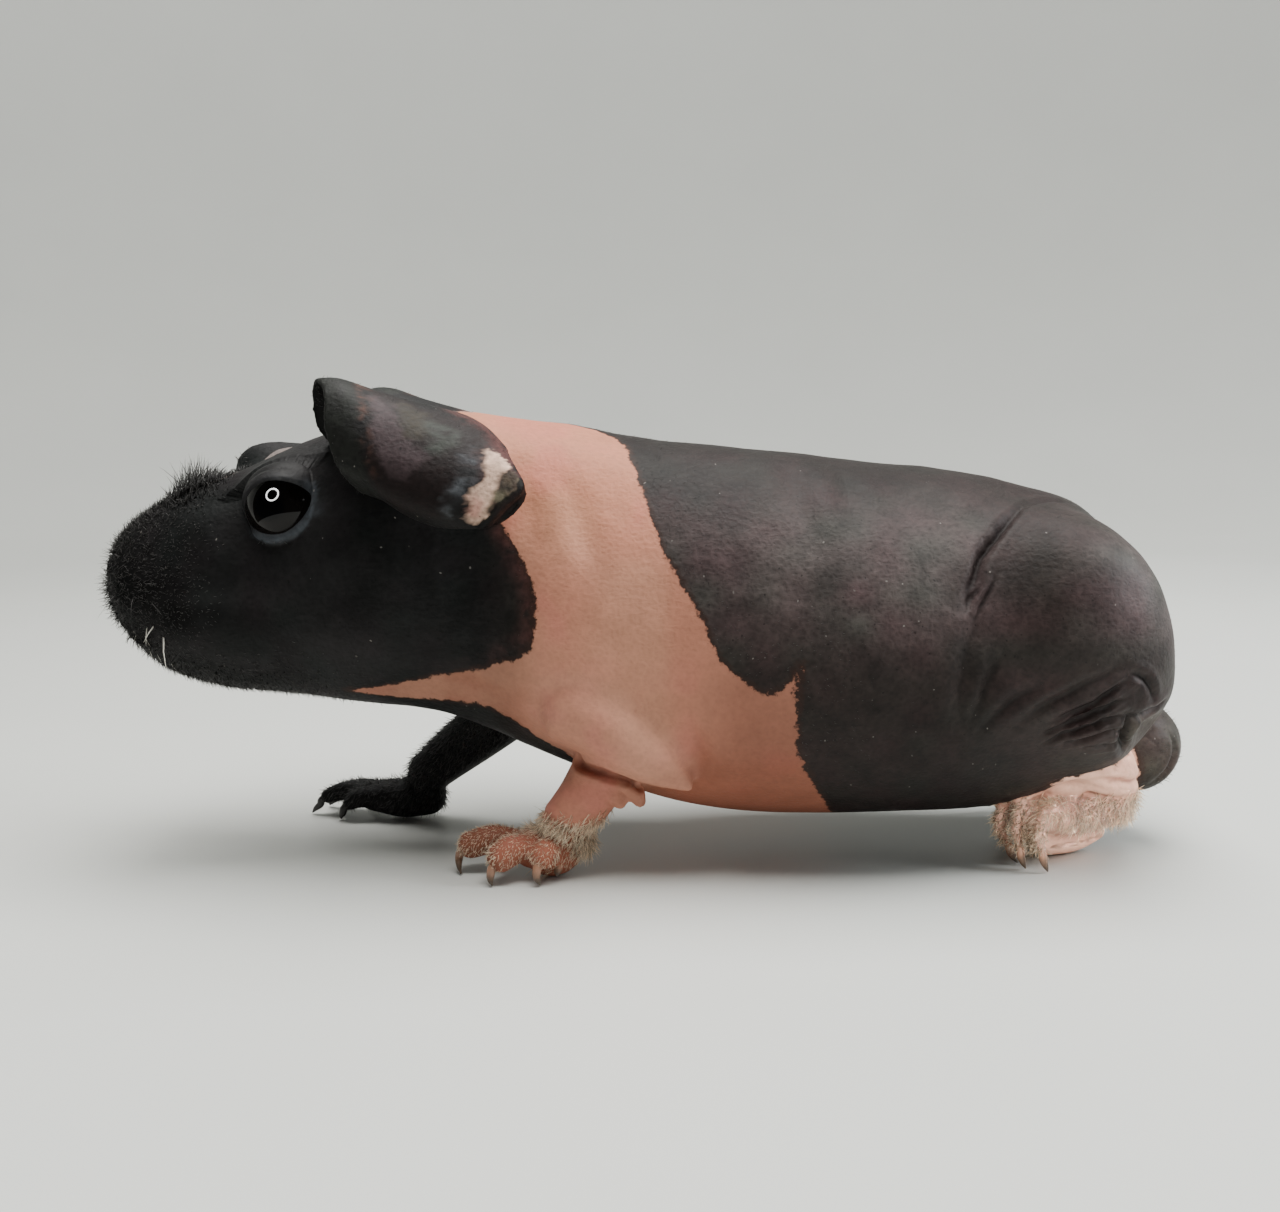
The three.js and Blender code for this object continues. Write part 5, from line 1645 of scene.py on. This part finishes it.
# Whiskers of the right side; the left ones are mirrored, and each is turned a little by
# its own random amount: root, direction, length, radius, and whether it is white.
WHISKERS = [
    ((-96.6, 10.2, 50.2), (-0.05, 0.3, -1), 7.4, 0.22, True),
    ((-99, 9.2, 52.4), (-0.5, 0.4, -0.9), 5, 0.19, True),
    ((-101.4, 8.2, 51.8), (-0.1, 0.3, -0.9), 4.2, 0.15, True),
    ((-102.4, 7.4, 50.4), (0.3, 0.3, -0.9), 3.4, 0.12, True),
    ((-106, 6.6, 49.6), (-0.5, 0.2, -0.7), 2.6, 0.06, True),
    ((-103.4, 7, 46.6), (0.4, 0.2, -0.8), 2.8, 0.06, True),
    ((-101, 7.4, 45.2), (0.5, 0.3, -0.7), 2.8, 0.06, True),
    ((-98, 7.6, 44), (0.7, 0.2, -0.6), 2.6, 0.06, True),
    ((-107.6, 5.4, 48), (-0.3, 0.2, -0.8), 2.4, 0.05, True),
    ((-111, 5.4, 56.4), (-0.6, 0.5, -0.6), 5.4, 0.06, False),
    ((-108.6, 8.6, 58), (-0.3, 0.9, -0.3), 6.4, 0.06, False),
    ((-106.4, 9.8, 60.4), (0.1, 1, 0.1), 7.2, 0.07, False),
    ((-104.6, 10.6, 57.2), (0.3, 0.9, -0.3), 7.8, 0.07, False),
    ((-102.4, 11.4, 60.2), (0.4, 0.9, 0.1), 8.4, 0.07, False),
    ((-103.6, 10.8, 63.6), (0.2, 0.9, 0.4), 6.2, 0.06, False),
    ((-100.6, 11.8, 56.8), (0.5, 0.8, -0.3), 7.4, 0.06, False),
]


def whisker_rows(rng, skin, white):
    """Hairs for the whiskers of one colour on both sides, from the nearest skin."""
    rows = [row for row in WHISKERS if row[4] == white]
    sides = np.array([side for side in SIDES.values() for _ in rows])[:, None] * (0, 1, 0) + (1, 0, 1)
    roots, ways, long, wide = (np.array([row[k] for row in rows] * 2) for k in range(4))
    nearest = settled(skin[0], roots * sides)
    ways = unit(ways * sides)
    ways = unit(ways + rng.normal(0, 0.12, ways.shape))
    last = unit(ways + (0.25, 0, -0.35) + rng.normal(0, 0.15, ways.shape))
    long = long * rng.uniform(0.85, 1.1, len(roots))
    made, faces = hairs(rng, nearest - 0.3 * ways, ways, last, long, wide)
    return made, faces, *unwrapped(nearest, BODY_AXIS), np.ones(len(made))


def hair_object(name, made, material, slot):
    """A coat piece with its UV map, riding on the animal."""
    points, faces, places, along, shade = made
    piece = new_object(name, points, faces)
    layer = piece.data.uv_layers.new(name="OFBake")
    layer.data.foreach_set("uv", places.astype(np.float32).ravel())
    add_attribute(piece.data, "along", along)
    add_attribute(piece.data, "shade", shade)
    piece.data.materials.append(material)
    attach(piece, "root")
    return piece


# ---- settings ----------------------------------------------------------


def number(name, description, default, **kind):
    """A plain number or an angle that a user may change."""
    return bpy.props.FloatProperty(name=name, description=description, default=default, **kind)


def length(name, description, default):
    """A length in metres that a user may change."""
    return number(name, description, default, min=0.0, unit="LENGTH", precision=5)


def colour(name, description, value):
    """A linear colour that a user may change."""
    return bpy.props.FloatVectorProperty(
        name=name, description=description, subtype="COLOR", size=4, min=0.0, max=1.0,
        default=(*value, 1.0))


class GuineaPigShape(bpy.types.PropertyGroup):
    """Sizes of the skin, the eyes and the claws."""

    voxel: length("Skin step", "Spacing of the points before the skin is thinned", 0.5 * MM)
    skin_triangles: bpy.props.IntProperty(
        name="Skin triangles", description="Most triangles in the finished skin", default=196000)
    fold_strength: number("Fold strength", "Depth of the folds, 1 being life", 1.0, subtype="FACTOR")
    ear_thickness: length("Ear thickness", "Thickness of the ear in its middle", 1.5 * MM)
    ear_rim: length("Ear rim", "Thickness of the ear at its rim", 0.9 * MM)
    eye_opening_length: length("Eye opening length", "Between the corners of the eye", 14.7 * MM)
    eye_opening_height: length("Eye opening height", "Between the lids", 10.8 * MM)
    lid_thickness: length("Lid thickness", "How far a lid stands off the eyeball", 0.75 * MM)
    coat_density: number("Coat density", "Share of the coat's hairs that are made", 1.0, subtype="FACTOR")
    claw_base: length("Claw radius", "Radius of a claw at the toe", 0.85 * MM)
    claw_point: length("Claw point", "Radius of a claw at its tip", 0.2 * MM)


class GuineaPigColours(bpy.types.PropertyGroup):
    """Colours of the skin, the eyes, the claws and the fur."""

    head_skin: colour("Head skin", "The black skin of the head", (0.0085, 0.0082, 0.0084))
    body_skin: colour("Body skin", "The dark skin of the flanks", (0.0215, 0.0155, 0.014))
    saddle_skin: colour("Saddle skin", "Paler dark skin of the back and the rump", (0.054, 0.042, 0.04))
    ear_skin: colour("Ear skin", "Dark skin of the ears", (0.007, 0.0062, 0.0062))
    ear_lilac: colour("Ear lilac", "Worn lilac patch on the ear", (0.04, 0.027, 0.029))
    ear_brown: colour("Ear brown", "Olive-brown patch at the top of the ear", (0.026, 0.021, 0.015))
    ear_green: colour("Ear green", "Green-grey patch behind it", (0.03, 0.033, 0.028))
    ear_wine: colour("Ear wine", "Darkest red-brown skin of the ear", (0.01, 0.0058, 0.0056))
    ear_front: colour("Ear front", "Green-black front of the ear", (0.0125, 0.0135, 0.0115))
    ear_rose: colour("Ear rose", "Pinker lower lobe of the cream stripe", (0.42, 0.205, 0.165))
    rust: colour("Rust", "Speckled line on the ear", (0.075, 0.036, 0.026))
    ear_ash: colour("Ear ash", "Blue-grey patch at the rear of the ear", (0.058, 0.062, 0.068))
    ear_olive: colour("Ear olive", "Speckled band at the ear's rear rim", (0.105, 0.092, 0.06))
    ear_cream: colour("Ear cream", "Pale stripe on the ear", (0.56, 0.38, 0.29))
    pink_skin: colour("Pink skin", "The bare pale skin", (0.445, 0.192, 0.127))
    rose_skin: colour("Rose skin", "Redder patches of the pale skin", (0.415, 0.148, 0.112))
    peach_skin: colour("Peach skin", "Yellower patches of the pale skin", (0.47, 0.232, 0.152))
    # Redder skin of the belly; also painted as shade on pink skin that lies low or faces down, and used at
    # the bottom of the left fore paw.
    belly_skin_and_shade: colour("Belly skin", "Redder skin underneath", (0.3, 0.1, 0.058))
    # Blue-grey of the lid rims, partly a painted highlight on the lower lids.
    lid: colour("Eyelid", "Blue-grey rim of the eyelids", (0.078, 0.089, 0.104))
    # A thin pale line over the head, along the right brow's edge.
    blaze: colour("Blaze", "Thin pale line over the head", (0.2, 0.165, 0.15))
    pouch_skin: colour("Pouch skin", "Brown velvety skin behind the thigh", (0.043, 0.032, 0.027))
    foot_skin: colour("Foot skin", "Palest skin, elbow's flap and hind foot", (0.66, 0.4, 0.3))
    wine: colour("Wine", "Freckled dark red edge of the cheek", (0.085, 0.033, 0.03))
    # Painted shade in the folds of the pale skin.
    crease: colour("Crease", "Depth of the folds of the pale skin", (0.22, 0.07, 0.045))
    fringe: colour("Fringe", "Brown edge of the dark skin", (0.03, 0.014, 0.01))
    fleck: colour("Fleck", "Tiny pale flecks on the dark skin", (0.2, 0.185, 0.17))
    iris: colour("Iris", "Ring round the pupil", (0.005, 0.004, 0.0035))
    black_fur: colour("Black fur", "Fur of the muzzle and the dark feet", (0.005, 0.0046, 0.0044))
    black_fur_tip: colour("Black fur tip", "Its tips", (0.11, 0.106, 0.103))
    grey_down: colour("Down", "Down on the dark body and the ear rims", (0.02, 0.018, 0.017))
    tan_fur: colour("Tan fur", "Roots of the fur on the pink fore paw", (0.62, 0.43, 0.29))
    tan_fur_tip: colour("Tan fur tip", "Its tips", (0.88, 0.77, 0.59))
    pale_fur: colour("Pale fur", "Roots of the wiry fur on the pink hind foot", (0.6, 0.4, 0.27))
    pale_fur_tip: colour("Pale fur tip", "Its tips", (0.84, 0.72, 0.55))
    white_whisker: colour("White whisker", "The pale whiskers", (0.9, 0.87, 0.78))
    claw_pale: colour("Pale claw", "Root of the claws on the pink feet", (0.47, 0.24, 0.15))
    claw_pale_tip: colour("Pale claw tip", "Tip of the claws on the pink feet", (0.07, 0.046, 0.028))
    claw_dark: colour("Dark claw", "Root of the claws on the dark feet", (0.012, 0.01, 0.009))
    claw_dark_tip: colour("Dark claw tip", "Tip of the claws on the dark feet", (0.02, 0.017, 0.015))
    floor: colour("Floor", "The studio's floor and wall", (0.62, 0.63, 0.6))


class GuineaPigStudio(bpy.types.PropertyGroup):
    """The camera and the lights."""

    ring_radius: length("Ring lamp", "Radius of the lamp that shows in the eye", 0.20)
    ring_tube: length("Ring lamp width", "Half the width of its bright band", 0.026)
    camera_distance: length("Camera distance", "From the animal's middle plane", 0.330)
    camera_height: length("Camera height", "Above the floor", 0.101)
    camera_pitch: number("Camera pitch", "How far it looks down", radians(8.3), subtype="ANGLE")
    camera_roll: number("Camera roll", "Turn about its own axis", radians(0.6), subtype="ANGLE")
    camera_lens: number("Lens", "Focal length on a 36 mm sensor", 43.6, unit="CAMERA")


def finished_skin():
    """Points of the skin, in millimetres in the animal's own place, its triangles and its normals."""
    points, triangles = read_mesh(bpy.data.objects["skin"].data)
    points = points / MM - (SHIFT, 0, 0)
    return points, triangles, point_normals(points, triangles)


class GUINEAPIG_OT_skin(bpy.types.Operator):
    """One skin over the head, body, ears, legs and feet, with its folds and lids"""

    bl_idname = "guineapig.skin"
    bl_label = "Skin"

    def execute(self, context):
        shape, colours = context.scene.guinea_pig_shape, context.scene.guinea_pig_colours
        skin = new_object("skin", *skin_shape(shape))
        points, triangles, normals = finished_skin()
        dark, pale, on_ear = skin_tints(points, normals, colours, shape)
        add_colour(skin.data, "dark", dark)
        add_colour(skin.data, "pale", pale)
        add_attribute(skin.data, "pink", np.where(on_ear, -3.0, pink_depth(points)))
        add_attribute(skin.data, "hollow", hollowness(points, triangles))
        add_attribute(skin.data, "blaze", np.where(on_ear, -1.0, pale_line_depth(points)))
        add_attribute(skin.data, "sheen", skin_sheen(points))
        skin.data.materials.append(skin_material(colours, grain_group()))
        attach(skin, "root")
        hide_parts(*FLESH_NODES)
        return {"FINISHED"}


class GUINEAPIG_OT_eyes(bpy.types.Operator):
    """Two glossy dark eyeballs"""

    bl_idname = "guineapig.eyes"
    bl_label = "Eyes"

    def execute(self, context):
        material = eye_material(context.scene.guinea_pig_colours)
        for name, side in SIDES.items():
            points, faces, turn = eyeball(side)
            eye = new_object(f"{name}_eyeball", points, faces)
            add_attribute(eye.data, "turn", turn)
            eye.data.materials.append(material)
            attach(eye, "root")
            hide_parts(f"{name}_eye")
            light_group("lit by ring", eye)
            light_group("kept dark", eye, "EXCLUDE")
        return {"FINISHED"}


class GUINEAPIG_OT_claws(bpy.types.Operator):
    """Curved claws, joined for each foot"""

    bl_idname = "guineapig.claws"
    bl_label = "Claws"

    def execute(self, context):
        shape, colours = context.scene.guinea_pig_shape, context.scene.guinea_pig_colours
        pale = claw_material("pale claw", tuple(colours.claw_pale), tuple(colours.claw_pale_tip))
        dark = claw_material("dark claw", tuple(colours.claw_dark), tuple(colours.claw_dark_tip))
        horn = {"claw_pale": pale, "claw_dark": dark}
        for name, leg in LEGS.items():
            made = [
                claw(toe, tip, shape.claw_base / MM, shape.claw_point / MM)
                for toe, tip in zip(leg["toes"], leg["tips"])
            ]
            points, faces = joined([(points, faces) for points, faces, _ in made])
            points[:, 2] = np.maximum(points[:, 2], 0.05)
            claws = new_object(f"{name}_claws", points, faces)
            add_attribute(claws.data, "along", np.concatenate([along for _, _, along in made]))
            claws.data.materials.append(horn[leg["claw"]])
            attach(claws, "root")
            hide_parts(*[f"{name}_claw_{k + 1}" for k in range(len(made))])
        return {"FINISHED"}


class GUINEAPIG_OT_coat(bpy.types.Operator):
    """Short fur of the muzzle and the feet, and the down of the body, as joined hairs"""

    bl_idname = "guineapig.coat"
    bl_label = "Coat"

    def execute(self, context):
        colours = context.scene.guinea_pig_colours
        skin = finished_skin()
        furs = {kind: fur(kind, colours) for kind in ("black", "grey", "pale", "tan")}
        strength = context.scene.guinea_pig_shape.coat_density * 1.0
        for seed, name in enumerate(COATS, FIRST_SEED):
            hair_object(name, coat_piece(name, seed, skin, strength), *furs[COATS[name][6]])
        return {"FINISHED"}


class GUINEAPIG_OT_whiskers(bpy.types.Operator):
    """Short whiskers, white at the lips and black above them"""

    bl_idname = "guineapig.whiskers"
    bl_label = "Whiskers"

    def execute(self, context):
        colours = context.scene.guinea_pig_colours
        skin = finished_skin()
        rng = np.random.default_rng(WHISKER_SEED)
        for name, white in (("white", True), ("black", False)):
            made = whisker_rows(rng, skin, white)
            hair_object(f"{name}_whiskers", made, *fur(f"{name} whisker", colours))
        return {"FINISHED"}


def studio_material(colours):
    """Plain pale floor with a soft gloss and the faintest mottle."""
    material, tree, shader, where = new_material("studio floor")
    cloud = noise(tree, where, 90.0, 3.0)
    pale = tuple(colours.floor)
    darker = tuple(0.93 * value for value in pale[:3]) + (1.0,)
    tree.links.new(mixed(tree, cloud, pale, darker), shader.inputs["Base Color"])
    shader.inputs["Roughness"].default_value = 0.42
    return material


def light_group(name, obj=None, state="INCLUDE"):
    """The group of pieces that a lamp shines on, or spares, with one more piece."""
    group = bpy.data.collections.get(name) or bpy.data.collections.new(name)
    if obj is not None:
        group.objects.link(obj)
        for item in group.collection_objects:
            item.light_linking.link_state = state
    return group


def ring_surface(rings):
    """Points and faces through rings (rows, round, 3), without closing their ends."""
    return rings.reshape(-1, 3), strips(*rings.shape[:2])[:, ::-1]


def studio_sweep(middle=0.18, radius=0.62, curve=0.5, height=1.5, steps=40, around=128):
    """A round floor whose rim turns up in a quarter circle and climbs: its middle and rear, the
    front of its floor, and the front of its wall."""
    lift = np.linspace(0, np.pi / 2, steps)
    flat = np.concatenate([np.linspace(1e-6, middle, 4), np.linspace(middle, radius, 6)[1:]])
    far = np.concatenate([flat, radius + curve * np.sin(lift[1:]), [radius + curve]])
    up = np.concatenate([0 * flat, curve * (1 - np.cos(lift[1:])), [height]])
    angle = turns(around)[None, :]
    points, faces = ring_surface(np.stack([
        far[:, None] * np.cos(angle), far[:, None] * np.sin(angle), up[:, None] + 0 * angle], -1))
    x, y, z = points[faces].mean(axis=1).T
    front = (y < 0) & (np.hypot(x, y) > middle)
    return points, faces[~front], faces[front & (z == 0)], faces[front & (z > 0)]


def lamp_ring(centre, aim, radius, tube, around=72, sides=12):
    """A ring lamp that faces a point: r = radius + tube * cos t across it, tube * sin t along."""
    facing = unit(np.array(aim) - centre)
    across = unit(np.cross(facing, (0, 0, 1)))
    rise = np.cross(across, facing)
    turn = np.linspace(0, 2 * np.pi, around + 1)[:, None]
    angle = turns(sides)[None, :]
    far, out = radius + tube * np.cos(angle), 0.3 * tube * np.sin(angle)
    local = [far * np.cos(turn), far * np.sin(turn), out + 0 * turn]
    rings = centre + sum(part[..., None] * way for part, way in zip(local, (across, rise, facing)))
    return ring_surface(rings)


def soft_light(name, place_at, aim, size, power, tint):
    """A square area light that faces a point."""
    data = bpy.data.lights.new(name, "AREA")
    data.shape = "RECTANGLE"
    data.size, data.size_y = size
    data.energy = power
    data.color = tint
    lamp = bpy.data.objects.new(name, data)
    lamp.location = place_at
    lamp.visible_camera = False
    lamp.rotation_euler = (Vector(aim) - Vector(place_at)).to_track_quat("-Z", "Y").to_euler()
    bpy.context.scene.collection.objects.link(lamp)
    return lamp


def lamp_material():
    """The bright face of the ring lamp."""
    material, _, shader, _ = new_material("ring lamp")
    shader.inputs["Emission Color"].default_value = (1.0, 1.0, 1.0, 1.0)
    shader.inputs["Emission Strength"].default_value = 150.0
    return material


def build_floor(colours):
    """Floor and wall in three pieces; the room in front of the animal isn't mirrored in it."""
    points, rear, apron, front = studio_sweep()
    paper = studio_material(colours)
    for name, faces in (("studio_floor", rear), ("studio_apron", apron), ("studio_front", front)):
        wall = new_object(name, points, faces, 1.0, 0.0)
        wall.data.materials.append(paper)
        wall.visible_glossy = name == "studio_floor"
        wall.visible_diffuse = name != "studio_front"
        light_group("floor", wall, "EXCLUDE")


def build_world():
    """A weak, cool light from all sides."""
    world = bpy.data.worlds.new("studio")
    world.use_nodes = True
    background = world.node_tree.nodes["Background"]
    background.inputs["Color"].default_value = (0.93, 0.96, 1.0, 1.0)
    background.inputs["Strength"].default_value = 0.05
    return world


# Lamps, in metres and watts: where each stands, what it faces, its size, power and tint.
STUDIO_MIDDLE, LEFT_HIND_FOOT = (0.0, 0.0, 0.04), (0.092, -0.015, 0.008)
LAMPS = {
    "overhead": ((0.05, 0.0, 0.80), STUDIO_MIDDLE, (0.85, 0.6), 18.0, (1.0, 0.99, 0.96)),
    "right_key": ((0.76, -0.06, 0.42), STUDIO_MIDDLE, (0.35, 0.35), 8.0, (0.95, 0.98, 1.0)),
    "foot_fill": ((0.20, -0.40, 0.14), LEFT_HIND_FOOT, (0.04, 0.04), 0.007, (1.0, 0.97, 0.92)),
}
FOOT_FILL_SPREAD = 7  # degrees
RING_FROM_EYE = (-0.162, -0.43, 0.36)


def build_lights(studio):
    """The soft lamps, and the ring lamp that shows in the left eye."""
    lamps = {name: soft_light(name, *settings) for name, settings in LAMPS.items()}
    lamps["overhead"].light_linking.receiver_collection = light_group("kept dark")
    lamps["foot_fill"].data.spread = radians(FOOT_FILL_SPREAD)
    lamps["foot_fill"].light_linking.receiver_collection = light_group("floor")
    eye = np.array(EYE_CENTRE) * (1, -1, 1) * MM
    surface = lamp_ring(eye + RING_FROM_EYE, eye, studio.ring_radius, studio.ring_tube)
    ring = new_object("lamp_ring", *surface, 1.0, 0.0)
    ring.data.materials.append(lamp_material())
    ring.visible_camera = ring.visible_diffuse = ring.visible_shadow = False
    ring.light_linking.receiver_collection = light_group("lit by ring")


def build_camera(studio):
    """A camera on the animal's left that looks a little down."""
    camera = bpy.data.objects.new("camera", bpy.data.cameras.new("camera"))
    camera.data.sensor_width = 36.0
    camera.data.lens = studio.camera_lens
    camera.data.clip_start = 0.01
    pitch, roll = studio.camera_pitch, studio.camera_roll
    ahead = Vector((0, np.cos(pitch), -np.sin(pitch)))
    rise = Vector((0, np.sin(pitch), np.cos(pitch)))
    right = Vector((1, 0, 0)) * np.cos(roll) - rise * np.sin(roll)
    above = Vector((1, 0, 0)) * np.sin(roll) + rise * np.cos(roll)
    turn = Matrix((right, above, -ahead)).transposed().to_4x4()
    at = Vector((SHIFT * MM, -studio.camera_distance, studio.camera_height))
    camera.matrix_world = Matrix.Translation(at) @ turn
    bpy.context.scene.collection.objects.link(camera)
    return camera


class GUINEAPIG_OT_studio(bpy.types.Operator):
    """Pale floor, soft lights and the camera"""

    bl_idname = "guineapig.studio"
    bl_label = "Studio"

    def execute(self, context):
        scene = context.scene
        build_floor(scene.guinea_pig_colours)
        scene.world = build_world()
        build_lights(scene.guinea_pig_studio)
        scene.camera = build_camera(scene.guinea_pig_studio)
        return {"FINISHED"}


class GUINEAPIG_PT_parts(bpy.types.Panel):
    """Lists the pieces of the animal and its studio"""

    bl_label = "Guinea Pig"
    bl_idname = "GUINEAPIG_PT_parts"
    bl_space_type = "VIEW_3D"
    bl_region_type = "UI"
    bl_category = "Guinea Pig"

    def draw(self, context):
        for operator in OPERATORS:
            self.layout.operator(operator.bl_idname)


SETTINGS = {
    "guinea_pig_shape": GuineaPigShape,
    "guinea_pig_colours": GuineaPigColours,
    "guinea_pig_studio": GuineaPigStudio,
}
OPERATORS = (
    GUINEAPIG_OT_studio,
    GUINEAPIG_OT_skin,
    GUINEAPIG_OT_eyes,
    GUINEAPIG_OT_claws,
    GUINEAPIG_OT_coat,
    GUINEAPIG_OT_whiskers,
)
CLASSES = (*SETTINGS.values(), *OPERATORS, GUINEAPIG_PT_parts)


def register():
    for made in CLASSES:
        bpy.utils.register_class(made)
    for name, group in SETTINGS.items():
        setattr(bpy.types.Scene, name, bpy.props.PointerProperty(type=group))


def unregister():
    for name in SETTINGS:
        delattr(bpy.types.Scene, name)
    for made in reversed(CLASSES):
        bpy.utils.unregister_class(made)


def main():
    register()
    for operator in OPERATORS:
        getattr(bpy.ops.guineapig, operator.bl_idname.split(".")[1])()


if __name__ == "__main__":
    main()
